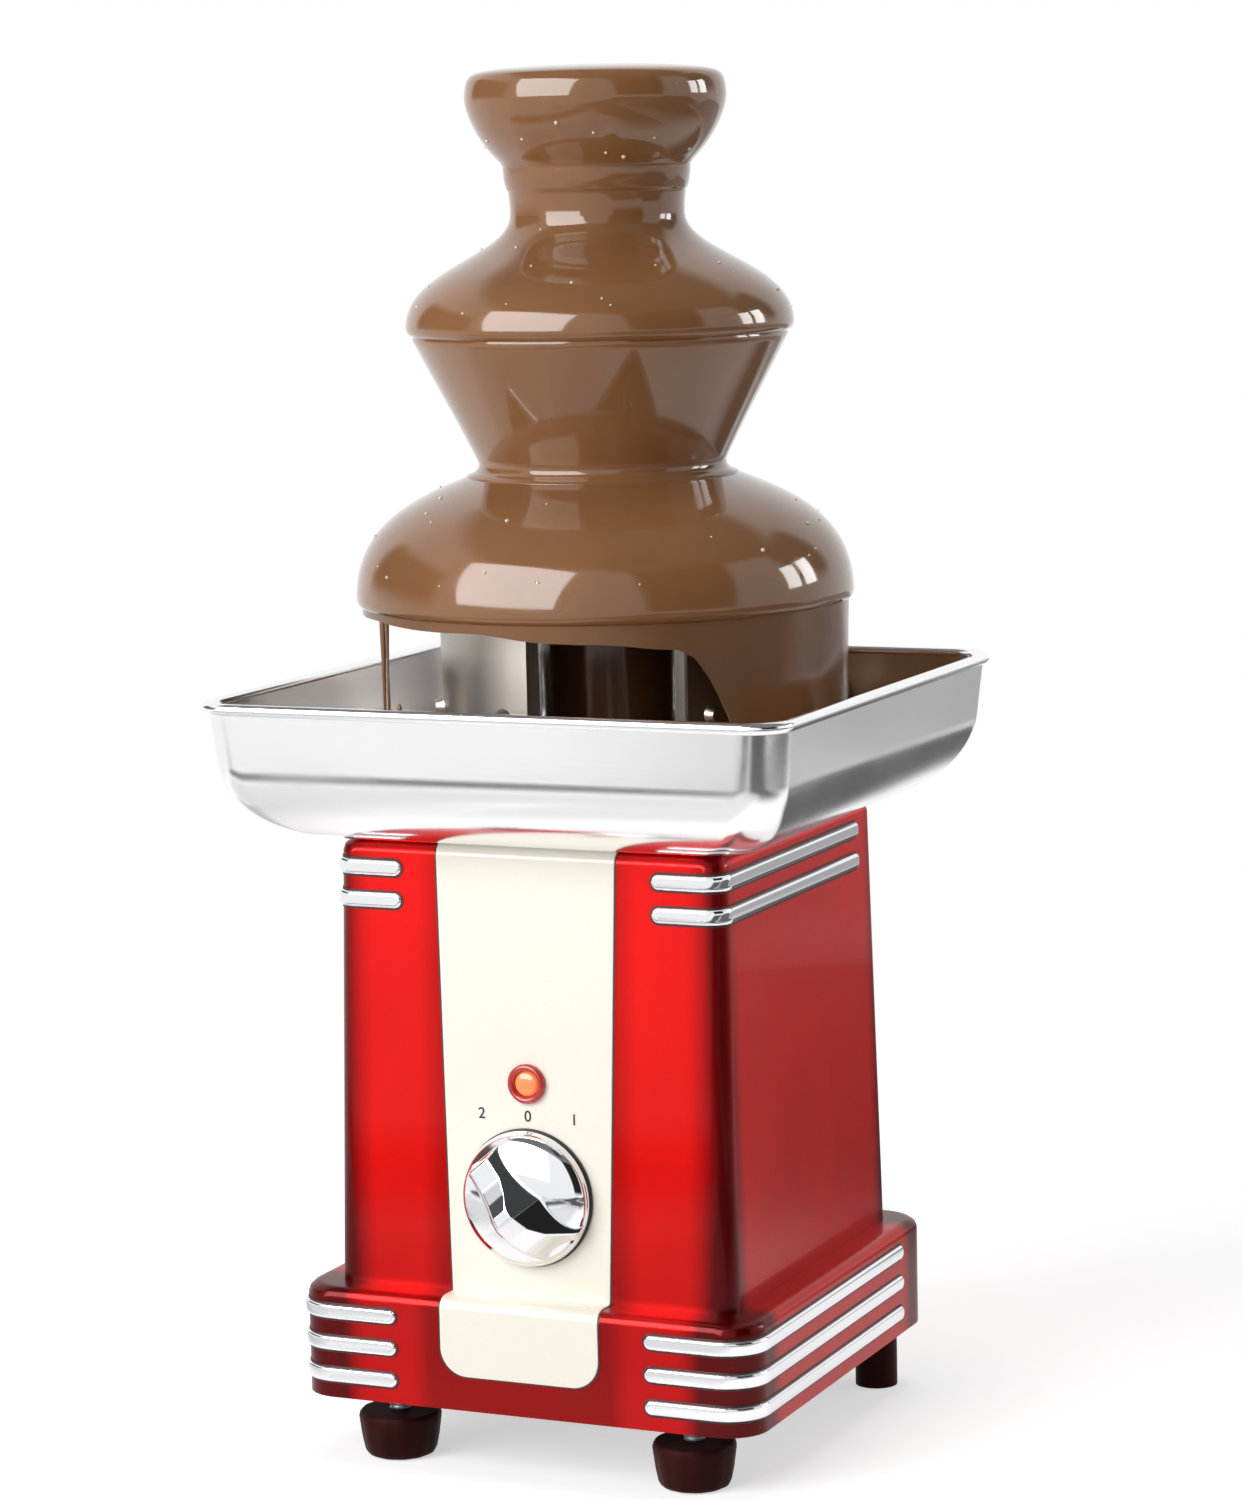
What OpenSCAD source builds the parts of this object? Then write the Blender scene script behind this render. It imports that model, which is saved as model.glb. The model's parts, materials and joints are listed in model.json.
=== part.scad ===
// Table-top chocolate fountain: a red housing with a heated square bowl, a screw
// that lifts the chocolate, and a three-tier tower that it runs down.
// Millimetres, +Z up, front towards -Y, origin on the table under the tower's axis.

/* [Feet] */
// Height of the plinth's underside above the table
ground_gap = 18.9; // [17:0.1:24]
// Diameter of the two front screw feet
front_foot_d = 23.6; // [18:0.1:25]
// Height of a front foot's rubber pad
front_foot_h = 12.6; // [9:0.1:13]
// Sideways distance of the front feet from the middle
front_foot_x = 45.2; // [38:0.1:48]
// Forward distance of the front feet from the middle
front_foot_y = 53.2; // [46:0.1:54]
// Diameter of the front feet's threaded studs
stud_d = 6; // [5:0.5:8]
// Length of a front foot's stud above its pad
stud_rise = 20; // [16:0.5:24]
// Diameter of the two plain rear feet
rear_foot_d = 12.4; // [10:0.1:14]
// Distance of the rear feet from the middle, both ways
rear_foot_xy = 57; // [50:0.1:58]

/* [Plinth] */
// Width of the square plinth
plinth_w = 138.4; // [134:0.1:150]
// Height of the plinth
plinth_h = 31.5; // [30:0.1:40]
// Corner radius of the plinth
plinth_corner = 11; // [8:0.1:16]
// Rounding of the plinth's top edge
plinth_edge = 3; // [2.5:0.1:4]
// Thickness of the plastic walls
wall = 3.2; // [3:0.1:4]
// Thickness of the bottom plate
plate_t = 2.5; // [2:0.1:4]

/* [Body] */
// Width of the body at the plinth
body_w_bottom = 120.6; // [118:0.1:126]
// Width of the body under the bowl
body_w_top = 115.8; // [114:0.1:122]
// Height of the body above the plinth
body_h = 125.7; // [122:0.1:145]
// Corner radius of the body
body_corner = 5.8; // [5:0.1:8]
// Rounding of the body's top edge
body_edge = 3.5; // [2.5:0.1:4.5]
// Thickness of the deck under the bowl
deck_t = 3.2; // [2.5:0.1:4]

/* [Front panel] */
// Width of the panel under the bowl
panel_w_top = 54; // [48:0.1:60]
// Width of the panel on the plinth
panel_w_bottom = 48; // [44:0.1:56]
// Thickness of the panel
panel_t = 2; // [1.6:0.1:2.4]
// Height of the panel's face above the red walls
panel_proud = 0.4; // [0.2:0.1:0.8]
// Gap round the panel
panel_gap = 0.4; // [0.2:0.1:0.8]
// Height of the panel's lower end above the plinth's underside
panel_rise = 9.8; // [7:0.1:14]
// Radius of the panel's lower corners
panel_corner = 8; // [4:0.1:11]

/* [Chrome bars] */
// Sideways distance of the bars' front ends from the middle
bar_start = 37.6; // [34:0.1:42]
// Height of an upper bar
upper_bar_h = 4.6; // [3.6:0.1:5.6]
// Height of a lower bar
lower_bar_h = 4.2; // [3.4:0.1:5]
// Drop from the body's top to the first upper bar
upper_bar_drop = 7.6; // [7:0.1:12]
// Spacing of the upper bars
upper_bar_pitch = 9.1; // [7:0.1:12]
// Drop from the plinth's top to the first lower bar
lower_bar_drop = 6.7; // [6.4:0.1:8]
// Spacing of the lower bars
lower_bar_pitch = 9.1; // [7:0.1:9.2]
// Rear end of the upper bars, behind the middle
upper_bar_end = 44; // [30:0.1:46]
// Rear end of the lower bars, behind the middle
lower_bar_end = 47; // [30:0.1:50]
// Height of a bar above its wall
bar_proud = 1.3; // [0.8:0.1:1.6]
// Depth of a bar in its groove
bar_sunk = 0.9; // [0.6:0.1:1.2]
// Gap round a bar in its groove
bar_gap = 0.3; // [0.2:0.05:0.5]

/* [Controls] */
// Height of the knob's centre above the plinth
knob_rise = 28.4; // [24:0.1:40]
// Diameter of the knob
knob_d = 38; // [32:0.1:42]
// Height of the knob's grip above the panel
knob_h = 17; // [14:0.1:20]
// Turn of the knob's pointer to the left of upright
knob_turn = 59; // [0:1:60]
// Diameter of the switch shaft
switch_shaft_d = 6; // [5:0.5:8]
// Side of the square switch housing
switch_w = 24; // [20:0.5:30]
// Depth of the switch housing
switch_depth = 15; // [12:0.5:20]
// Height of the lamp's centre above the plinth
lamp_rise = 60.3; // [58:0.1:80]
// Diameter of the lamp's bezel
lamp_d = 11.2; // [9.5:0.1:14]
// Diameter of the lamp's window
lamp_window_d = 7; // [5.5:0.1:7.4]

/* [Bowl] */
// Width of the square bowl over its rolled rim
bowl_w = 174.6; // [168:0.1:190]
// Height of the bowl
bowl_h = 39.6; // [34:0.1:46]
// Corner radius of the rim
bowl_corner = 12.7; // [10:0.1:20]
// Lean of the bowl's walls
bowl_lean = 5.5; // [3:0.1:9]
// Radius between the bowl's walls and its floor
bowl_fillet = 24; // [16:0.1:26]
// Thickness of the bowl's sheet
bowl_t = 1.5; // [1.2:0.1:2]
// Diameter of the rolled rim
rim_d = 3.3; // [2.8:0.1:4.2]
// Thickness of the gasket under the bowl
gasket_t = 0.9; // [0.6:0.1:1.6]

/* [Heater] */
// Diameter of the heater plate
heater_d = 86; // [76:0.5:88]
// Thickness of the heater plate below the deck's top
heater_t = 5; // [4:0.1:7]
// Diameter of the heating element's ring, at the middle of its tube
element_ring_d = 60; // [56:0.5:64]
// Diameter of the heating element's tube
element_d = 6.5; // [5:0.1:7.5]
// Diameter of the thermostat
thermostat_d = 13; // [10:0.1:13]

/* [Drive] */
// Diameter of the drive shaft
shaft_d = 8; // [6:0.5:9]
// Height of the drive shaft's top above the bowl's floor
shaft_rise = 26; // [22:0.5:32]
// Gear module
gear_m = 1; // [0.9:0.05:1.05]
// Teeth of the output gear
output_teeth = 48; // [44:1:52]
// Teeth of the idler's pinion
idler_pinion_teeth = 12; // [12:1:14]
// Teeth of the idler's wheel
idler_wheel_teeth = 40; // [38:1:42]
// Teeth of the motor pinion
motor_pinion_teeth = 10; // [10:1:12]
// Play between meshed teeth
gear_play = 0.32; // [0.28:0.02:0.4]
// Thickness of the output gear
output_gear_t = 7; // [5:0.1:8]
// Thickness of the idler's wheel
idler_wheel_t = 5; // [4:0.1:6]
// Diameter of the motor shaft
motor_shaft_d = 4; // [3:0.1:5]
// Diameter of the motor's rotor
rotor_d = 24.4; // [20:0.1:26]
// Height of the motor's iron stack
stack_h = 20; // [16:0.5:22]
// Diameter of the cooling fan
fan_d = 44; // [36:0.5:48]

/* [Tower] */
// Diameter of the drum that carries the tower
drum_d = 94; // [86:0.5:100]
// Height of the drum
drum_h = 77; // [74:0.5:80]
// Sheet thickness of the drum and the tube
tower_t = 1.6; // [1.2:0.1:2]
// Angle of each of the drum's windows
window_angle = 56; // [40:1:70]
// Height of the drum's windows
window_h = 60; // [50:0.5:66]
// Turn of the first window from the front towards the right
window_turn = 24; // [0:1:40]
// Outer diameter of the tube round the screw
tube_d = 37; // [34:0.1:38]
// Sheet thickness of the tiers
tier_t = 1.5; // [1.2:0.1:2]
// Lead of the lifting screw
screw_pitch = 26; // [20:0.5:32]
// Diameter of the lifting screw's core
screw_core_d = 13; // [12:0.1:16]
// Thickness of the lifting screw's flight
flight_t = 3; // [2:0.1:4]

/* [Chocolate] */
// Thickness of the chocolate on the tiers
coat_t = 2.2; // [1.6:0.1:2.8]
// Thickness of a falling sheet of chocolate
sheet_t = 2.4; // [1.8:0.1:3]
// Depth of the pool in the bowl
pool_depth = 11; // [8:0.1:16]
// Radius of the chocolate at the lower tier's rim
lower_rim_r = 70.2; // [66:0.1:73]
// Radius of the chocolate where the upper sheet lands
landing_r = 36.5; // [34:0.1:40]
// Radius of the chocolate at the upper tier's rim
upper_rim_r = 54.5; // [50:0.1:58]
// Radius of the chocolate at the neck
neck_r = 23.2; // [22.8:0.1:25]
// Radius of the chocolate under the crown
crown_base_r = 25.2; // [24.4:0.1:27]
// Radius of the chocolate at the crown's rim
crown_rim_r = 36.5; // [33:0.1:40]
// Height of the lower tier's rim above the bowl's floor
lower_rim_rise = 63.2; // [62:0.1:66]
// Height of the lower tier's top above its rim
lower_tier_h = 32.8; // [31:0.1:36]
// Height from the lower tier's top to the upper tier's rim
sheet_h = 42.2; // [36:0.1:50]
// Height of the upper tier's top above its rim
upper_tier_h = 27.8; // [25:0.1:32]
// Height of the neck under the crown
neck_h = 13.4; // [11:0.1:18]
// Height of the crown
crown_h = 26.6; // [24:0.1:32]
// First edge of the falling sheet under the lower tier, from the front towards the right
curtain_from = 54; // [50:1:70]
// Last edge of that falling sheet
curtain_to = 174; // [150:1:190]

/* [Hidden] */
$fn = 64;

// General clearances
fit_gap = 0.05;
part_gap = 0.3;
seat_gap = 0.1;
screw_r = 1.5;
screw_head_r = 2.9;
screw_head_h = 2;
overcut = 1;
slice_h = 0.01;
round_steps = [0, 30, 60, 90];

// Heights above the table
z_ledge = ground_gap + plinth_h;
z_top = z_ledge + body_h;
z_deck = z_top - deck_t;
z_bowl = z_top + gasket_t;
z_floor = z_bowl + bowl_t;
z_rim = z_bowl + bowl_h;
z_plate = ground_gap + plate_t;
z_panel = ground_gap + panel_rise;
z_knob = z_ledge + knob_rise;
z_lamp = z_ledge + lamp_rise;
z_pool = z_floor + pool_depth;

// Half widths of the housing
plinth_half = plinth_w / 2;
ledge_half = body_w_bottom / 2 - wall - 10;
function body_half(z) = (body_w_bottom + (body_w_top - body_w_bottom) * (z - z_ledge) / body_h) / 2;
lean_of_body = atan((body_w_bottom - body_w_top) / 2 / body_h);

// Screw posts of the housing
post_r = 5;
body_post_xy = body_half(z_ledge) - wall - 4.2;
body_post_h = 16;
plate_post_r = 4.2;
plate_post_x = plinth_half - wall - 3.2;
plate_post_y = 18;
bracket_post_xy = 38.5;
bracket_post_r = 4.5;

// Drive train levels and axes
bracket_drop = 21;
bracket_t = 2.5;
z_bracket = z_deck - bracket_drop;
gear_room = 21;
case_t = 2.5;
z_case = z_bracket - bracket_t - gear_room;
z_idler_wheel = z_case + 3;
z_output_gear = z_idler_wheel + idler_wheel_t + 3;
idler_turn = 135;
rotor_turn = 0;
idler_reach = gear_m * (output_teeth + idler_pinion_teeth) / 2;
rotor_reach = gear_m * (idler_wheel_teeth + motor_pinion_teeth) / 2;
idler_xy = idler_reach * [cos(idler_turn), sin(idler_turn)];
rotor_xy = idler_xy + rotor_reach * [cos(rotor_turn), sin(rotor_turn)];
idler_pin_r = 2;
stack_drop = 8;
z_stack = z_case - case_t - stack_drop - stack_h;
bridge_drop = 6;
bridge_t = 2;
z_bridge = z_stack - bridge_drop - bridge_t;
motor_post_x = 22;
motor_post_r = 4;
air_gap = 0.4;
bush_wall = 2;
shaft_tail = 0.5;
case_post_r = 3;
shaft_r = shaft_d / 2;
bush_r = shaft_r + fit_gap;

// Radii and heights of the tower, and the curves of its chocolate
tube_r = tube_d / 2;
tube_bore_r = tube_r - tower_t;
drum_r = drum_d / 2;
sleeve_bore_r = tube_r + fit_gap;
sleeve_r = sleeve_bore_r + tier_t;
z_drum = z_floor + seat_gap;
z_drum_top = z_drum + drum_h;
z_lower_rim = z_floor + lower_rim_rise;
z_lower_top = z_lower_rim + lower_tier_h;
z_upper_rim = z_lower_top + sheet_h;
z_upper_top = z_upper_rim + upper_tier_h;
z_crown_base = z_upper_top + neck_h;
z_crown = z_crown_base + crown_h;
z_collar = z_lower_top + 2;
z_sleeve_top = z_upper_top + 1;
z_tube_top = z_crown_base - 0.5;
screw_gap = 0.4;
screw_r_outer = tube_bore_r - screw_gap;
screw_foot = 3.5;
screw_h = z_tube_top - 6 - z_floor - screw_foot;
rivet_z = z_floor + 31;
leg_angle = 120 - window_angle;
curve_steps = 10;

function bezier(a, b, c, d) = [for (k = [0 : curve_steps])
    let (t = k / curve_steps, s = 1 - t)
    s * s * s * a + 3 * s * s * t * b + 3 * s * t * t * c + t * t * t * d];
function reversed(points) = [for (k = [len(points) - 1 : -1 : 0]) points[k]];
function along(points, k) = points[min(k + 1, len(points) - 1)] - points[max(k - 1, 0)];
function inset(points, depth) = [for (k = [0 : len(points) - 1])
    let (t = along(points, k)) points[k] + depth * [t.y, -t.x] / norm(t)];

lower_curve = bezier([landing_r, z_lower_top], [landing_r + 13.5, z_lower_top - 7.5],
    [lower_rim_r - 1.2, z_lower_rim + 18.3], [lower_rim_r, z_lower_rim]);
upper_curve = bezier([neck_r, z_upper_top], [neck_r + 2.8, z_upper_top - 7.5],
    [upper_rim_r - 4.5, z_upper_rim + 10.3], [upper_rim_r, z_upper_rim]);
sheet_curve = bezier([upper_rim_r - 0.9, z_upper_rim - 3.2], [upper_rim_r - 6.5, z_upper_rim - 16.7],
    [landing_r + 3, z_lower_top + 15.5], [landing_r, z_lower_top]);
neck_curve = bezier([crown_base_r, z_crown_base], [neck_r - 0.6, z_crown_base - 6.9],
    [neck_r - 1.7, z_upper_top + 4], [neck_r, z_upper_top]);
crown_curve = bezier([crown_rim_r, z_crown], [crown_rim_r + 0.5, z_crown - 8.5],
    [crown_base_r + 4.3, z_crown_base + 5.1], [crown_base_r, z_crown_base]);
lower_steel = inset(lower_curve, coat_t);
lower_under = inset(lower_curve, coat_t + tier_t);
upper_steel = inset(upper_curve, coat_t);
upper_under = inset(upper_curve, coat_t + tier_t);
crown_steel = inset(crown_curve, coat_t);
crown_inside = inset(crown_curve, coat_t + tier_t);

// Shared shapes
module rounded_square(w, r) {
    square([w - 2 * r, w], center = true);
    square([w, w - 2 * r], center = true);
    for (sx = [-1, 1], sy = [-1, 1])
        translate([sx * (w / 2 - r), sy * (w / 2 - r)]) circle(r = r);
}

module slice(w, r, z) {
    translate([0, 0, z]) linear_extrude(slice_h) rounded_square(w, r, $fn = 32);
}

module rounded_prism(w, r, z0, z1) {
    translate([0, 0, z0]) linear_extrude(z1 - z0) rounded_square(w, r);
}

module tapered_block(w0, w1, r, z0, z1, edge) {
    hull() {
        slice(w0, r, z0);
        for (a = round_steps)
            slice(w1 - 2 * edge * (1 - cos(a)), r, z1 - edge + edge * sin(a) - slice_h);
    }
}

module pipe(r_out, r_in, z0, z1) {
    translate([0, 0, z0]) difference() {
        cylinder(r = r_out, h = z1 - z0);
        translate([0, 0, -overcut]) cylinder(r = r_in, h = z1 - z0 + 2 * overcut);
    }
}

module wedge_ring(r_in, r_out, from, to, z0, z1) {
    translate([0, 0, z0]) rotate([0, 0, from]) rotate_extrude(angle = to - from)
        translate([r_in, 0]) square([r_out - r_in, z1 - z0]);
}

module corners(x, y) {
    for (sx = [-1, 1], sy = [-1, 1]) translate([sx * x, sy * y, 0]) children();
}

module on_front(z) {
    translate([0, -body_half(z), z]) rotate([90 - lean_of_body, 0, 0]) children();
}

module along_x(w) {
    rotate([90, 0, 90]) translate([0, 0, -w / 2]) linear_extrude(w) children();
}

module screw_up(z, length) {
    translate([0, 0, z]) cylinder(r = screw_r, h = length);
    translate([0, 0, z - screw_head_h]) difference() {
        cylinder(r = screw_head_r, h = screw_head_h);
        translate([-screw_head_r, -0.4, -overcut]) cube([2 * screw_head_r, 0.8, overcut + 0.8]);
    }
}

module hex(across, h) {
    cylinder(d = across / cos(30), h = h, $fn = 6);
}

// Housing
module plinth() {
    color("firebrick") difference() {
        union() {
            difference() {
                tapered_block(plinth_w, plinth_w, plinth_corner, ground_gap, z_ledge, plinth_edge);
                rounded_prism(plinth_w - 2 * wall, plinth_corner - wall,
                    ground_gap - overcut, z_ledge - wall);
                rounded_prism(2 * ledge_half, body_corner, ground_gap, z_ledge + overcut);
            }
            corners(plate_post_x, plate_post_y)
                translate([0, 0, z_plate])
                    cylinder(r = plate_post_r, h = z_ledge - wall - z_plate + overcut);
        }
        corners(plate_post_x, plate_post_y)
            translate([0, 0, z_plate - overcut]) cylinder(r = screw_r + fit_gap, h = 12 + overcut);
        corners(body_post_xy, body_post_xy)
            translate([0, 0, ground_gap]) cylinder(r = screw_r + fit_gap, h = plinth_h + overcut);
        panel_slot();
        for (k = [0 : 2]) both_sides() lower_groove(k);
        translate([0, plinth_half, z_gland]) rotate([90, 0, 0])
            cylinder(r = gland_neck_r + fit_gap, h = 4 * wall, center = true);
    }
}

module body_shell() {
    color("firebrick") difference() {
        union() {
            difference() {
                tapered_block(body_w_bottom, 2 * body_half(z_top), body_corner, z_ledge, z_top, body_edge);
                hull() {
                    slice(body_w_bottom - 2 * wall, body_corner - wall, z_ledge - slice_h);
                    slice(2 * body_half(z_deck) - 2 * wall, body_corner - wall, z_deck - slice_h);
                }
            }
            corners(body_post_xy, body_post_xy)
                translate([0, 0, z_ledge]) cylinder(r = post_r, h = body_post_h);
            corners(bracket_post_xy, bracket_post_xy)
                translate([0, 0, z_bracket]) cylinder(r = bracket_post_r, h = bracket_drop + overcut);
        }
        corners(body_post_xy, body_post_xy)
            translate([0, 0, z_ledge - overcut]) cylinder(r = screw_r + fit_gap, h = 12 + overcut);
        corners(bracket_post_xy, bracket_post_xy)
            translate([0, 0, z_bracket - overcut]) cylinder(r = screw_r + fit_gap, h = 10 + overcut);
        translate([0, 0, z_deck - overcut]) cylinder(d = heater_d + 4, h = deck_t + 2 * overcut);
        bowl_stud_places() translate([0, 0, z_deck - overcut])
            cylinder(r = bowl_stud_r + part_gap, h = deck_t + 2 * overcut);
        panel_slot();
        for (k = [0 : 1]) both_sides() upper_groove(k);
        on_front(z_knob) translate([0, 0, -2 * wall]) cylinder(r = switch_neck_r + fit_gap, h = 3 * wall);
        on_front(z_lamp) translate([0, 0, -2 * wall]) cylinder(r = lamp_neck_r + fit_gap, h = 3 * wall);
    }
}

// Front panel: a strip that follows the plinth, the ledge and the body up to the bowl
panel_end = body_half(z_top) - body_edge - 1.2;

function panel_line(o) = concat(
    [[-(plinth_half + o), z_panel - (o > panel_proud ? panel_gap : 0)]],
    [for (a = round_steps) [-(plinth_half - plinth_edge + (plinth_edge + o) * cos(a)),
        z_ledge - plinth_edge + (plinth_edge + o) * sin(a)]],
    [[-(body_half(z_ledge) + o), z_ledge + o]],
    [for (a = round_steps) [-(body_half(z_top) - body_edge + (body_edge + o) * cos(a)),
        z_top - body_edge + (body_edge + o) * sin(a)]],
    [[-panel_end, z_top + o]]);

module panel_outline(gap) {
    half_top = panel_w_top / 2 + gap;
    half_low = panel_w_bottom / 2 + gap;
    r = panel_corner + gap;
    z0 = z_panel - gap;
    polygon([[-half_top, z_top], [-half_low, z_ledge], [half_low, z_ledge], [half_top, z_top]]);
    translate([-half_top, z_top - slice_h]) square([2 * half_top, overcut]);
    translate([-half_low, z0 + r]) square([2 * half_low, z_ledge - z0 - r + slice_h]);
    translate([r - half_low, z0]) square([2 * (half_low - r), 2 * r]);
    for (s = [-1, 1]) translate([s * (half_low - r), z0 + r]) circle(r = r);
}

module panel_strip(front, back, gap) {
    intersection() {
        along_x(panel_w_top + panel_w_bottom)
            polygon(concat(panel_line(front), reversed(panel_line(back))));
        rotate([90, 0, 0]) linear_extrude(plinth_w) panel_outline(gap);
    }
}

module panel_slot() {
    panel_strip(panel_proud + 3, panel_proud - panel_t, panel_gap);
}

module front_panel() {
    color("ivory") difference() {
        panel_strip(panel_proud, panel_proud - panel_t, 0);
        on_front(z_knob) translate([0, 0, -2 * wall]) cylinder(r = switch_neck_r + fit_gap, h = 4 * wall);
        on_front(z_lamp) translate([0, 0, -2 * wall]) cylinder(r = lamp_neck_r + fit_gap, h = 4 * wall);
    }
}

module bottom_plate() {
    color("dimgray") difference() {
        rounded_prism(plinth_w - 2 * wall - 2 * part_gap, plinth_corner - wall - part_gap,
            ground_gap, z_plate);
        corners(plate_post_x, plate_post_y) translate([0, 0, ground_gap - overcut])
            cylinder(r = screw_r + fit_gap, h = plate_t + 2 * overcut);
        front_foot_places() translate([0, 0, ground_gap - overcut])
            cylinder(r = stud_d / 2 + part_gap, h = plate_t + 2 * overcut);
        rear_foot_places() translate([0, 0, ground_gap - overcut])
            cylinder(r = screw_r + fit_gap, h = plate_t + 2 * overcut);
        for (k = [-3 : 3]) translate([7 * k, 0, ground_gap + plate_t / 2])
            cube([3, 40, plate_t + 2 * overcut], center = true);
    }
}

module bottom_plate_screws() {
    color("silver") corners(plate_post_x, plate_post_y) screw_up(ground_gap, 10);
}

module body_screws() {
    color("silver") corners(body_post_xy, body_post_xy) screw_up(z_ledge - wall, 12);
}

// Chrome bars: half-round strips that start on the front and wrap a front corner
function bar_round(h) = (h * h / 4 + bar_proud * bar_proud) / (2 * bar_proud);

module bar_section(h) {
    intersection() {
        translate([-bar_sunk, -h / 2]) square([bar_sunk + bar_proud, h]);
        translate([bar_proud - bar_round(h), 0]) circle(r = bar_round(h));
    }
}

module bar_cap(h) {
    rotate([0, 90, 0]) rotate_extrude(angle = 180) intersection() {
        translate([0, -bar_sunk]) square([h / 2, bar_sunk + bar_proud]);
        translate([0, bar_proud - bar_round(h)]) circle(r = bar_round(h));
    }
}

module groove_cap(h) {
    rotate([0, 90, 0]) translate([0, 0, -bar_sunk]) cylinder(d = h, h = bar_sunk + 2 * wall);
}

// Children 0 and 1 are the section, x outwards and y up, and the cap on the section's end
module bar_sweep(half, corner, h, end) {
    inner = half - corner;
    first = bar_start + h / 2;
    last = end - h / 2;
    translate([half, last, 0]) rotate([90, 0, 0]) linear_extrude(last + inner) children(0);
    translate([inner, -inner, 0]) rotate([0, 0, -90]) rotate_extrude(angle = 90)
        translate([corner, 0]) children(0);
    translate([inner, -half, 0]) rotate([0, 0, -90]) rotate([90, 0, 0])
        linear_extrude(inner - first) children(0);
    translate([half, last, 0]) children(1);
    translate([first, -half, 0]) rotate([0, 0, -90]) mirror([0, 1, 0]) children(1);
}

module both_sides() {
    children();
    mirror([1, 0, 0]) children();
}

function upper_bar_z(k) = z_top - upper_bar_drop - k * upper_bar_pitch;
function lower_bar_z(k) = z_ledge - lower_bar_drop - k * lower_bar_pitch;

module groove_section(h) {
    translate([-bar_sunk, -h / 2]) square([bar_sunk + 2 * wall, h]);
}

module upper_groove(k) {
    h = upper_bar_h + 2 * bar_gap;
    translate([0, 0, upper_bar_z(k)])
        bar_sweep(body_half(upper_bar_z(k)), body_corner, h, upper_bar_end + bar_gap) {
            groove_section(h);
            groove_cap(h);
        }
}

module lower_groove(k) {
    h = lower_bar_h + 2 * bar_gap;
    translate([0, 0, lower_bar_z(k)]) bar_sweep(plinth_half, plinth_corner, h, lower_bar_end + bar_gap) {
        groove_section(h);
        groove_cap(h);
    }
}

module upper_bars(side) {
    color("gainsboro") mirror([side < 0 ? 1 : 0, 0, 0]) for (k = [0 : 1])
        translate([0, 0, upper_bar_z(k)])
        bar_sweep(body_half(upper_bar_z(k)), body_corner, upper_bar_h, upper_bar_end) {
            bar_section(upper_bar_h);
            bar_cap(upper_bar_h);
        }
}

module lower_bars(side) {
    color("gainsboro") mirror([side < 0 ? 1 : 0, 0, 0]) for (k = [0 : 2])
        translate([0, 0, lower_bar_z(k)])
        bar_sweep(plinth_half, plinth_corner, lower_bar_h, lower_bar_end) {
            bar_section(lower_bar_h);
            bar_cap(lower_bar_h);
        }
}

// Feet
foot_nut_h = 6;
foot_nut_across = stud_d + 4;
pad_hold = 7;

module front_foot_places() {
    for (s = [-1, 1]) translate([s * front_foot_x, -front_foot_y, 0]) children();
}

module rear_foot_places() {
    for (s = [-1, 1]) translate([s * rear_foot_xy, rear_foot_xy, 0]) children();
}

module front_foot(side) {
    r = front_foot_d / 2;
    color("black") translate([side * front_foot_x, -front_foot_y, 0]) difference() {
        rotate_extrude() polygon(concat([[0, 0], [r - 2.4, 0]],
            bezier([r - 2.4, 0], [r - 0.8, 1], [r, 2.6], [r, 5]),
            bezier([r, front_foot_h - 4], [r, front_foot_h - 1.4], [r - 1.4, front_foot_h],
                [r - 4, front_foot_h]),
            [[0, front_foot_h]]));
        translate([0, 0, front_foot_h - pad_hold]) cylinder(d = stud_d, h = pad_hold + overcut);
    }
}

module foot_stud(side) {
    color("silver") translate([side * front_foot_x, -front_foot_y, front_foot_h - pad_hold]) {
        cylinder(d = stud_d, h = pad_hold + stud_rise - 1);
        translate([0, 0, pad_hold + stud_rise - 1])
            cylinder(d1 = stud_d, d2 = stud_d - 2, h = 1);
    }
}

module foot_nuts() {
    color("goldenrod") front_foot_places() translate([0, 0, z_plate]) difference() {
        hex(foot_nut_across, foot_nut_h);
        translate([0, 0, -overcut]) cylinder(r = stud_d / 2 + fit_gap, h = foot_nut_h + 2 * overcut);
    }
}

module rear_feet() {
    color("black") rear_foot_places() difference() {
        cylinder(d = rear_foot_d, h = ground_gap);
        translate([0, 0, ground_gap - 9]) cylinder(r = screw_r + fit_gap, h = 9 + overcut);
    }
}

module rear_foot_screws() {
    color("silver") rear_foot_places() translate([0, 0, z_plate]) rotate([180, 0, 0]) screw_up(0, 9);
}

// Switch, knob and lamp, built outwards from the body's front wall
switch_neck_r = switch_shaft_d / 2 + 1.7;
switch_nut_across = 2 * switch_neck_r + 4;
switch_neck_h = panel_proud + 3.4;
switch_nut_h = 2.2;
knob_gap = 0.5;
knob_base = panel_proud + knob_gap;
knob_dome_h = 8.6;
lamp_neck_r = lamp_window_d / 2 + 0.9;
lamp_neck_h = 12;

module switch_housing() {
    color("dimgray") on_front(z_knob) difference() {
        union() {
            translate([-switch_w / 2, -switch_w / 2, -wall - switch_depth])
                cube([switch_w, switch_w, switch_depth]);
            translate([0, 0, -wall - overcut])
                cylinder(r = switch_neck_r, h = wall + overcut + switch_neck_h);
            for (x = [-7, 0, 7]) translate([x - 1, -0.4, -wall - switch_depth - 7])
                cube([2, 0.8, 7 + overcut]);
        }
        translate([0, 0, -wall - switch_depth + 4])
            cylinder(r = switch_shaft_d / 2 + fit_gap, h = switch_depth + 3 * wall);
    }
}

module switch_shaft() {
    color("silver") on_front(z_knob) translate([0, 0, -wall - switch_depth + 4 + part_gap])
        cylinder(d = switch_shaft_d, h = wall + switch_depth - 4 - part_gap + knob_base + 11);
}

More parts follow.
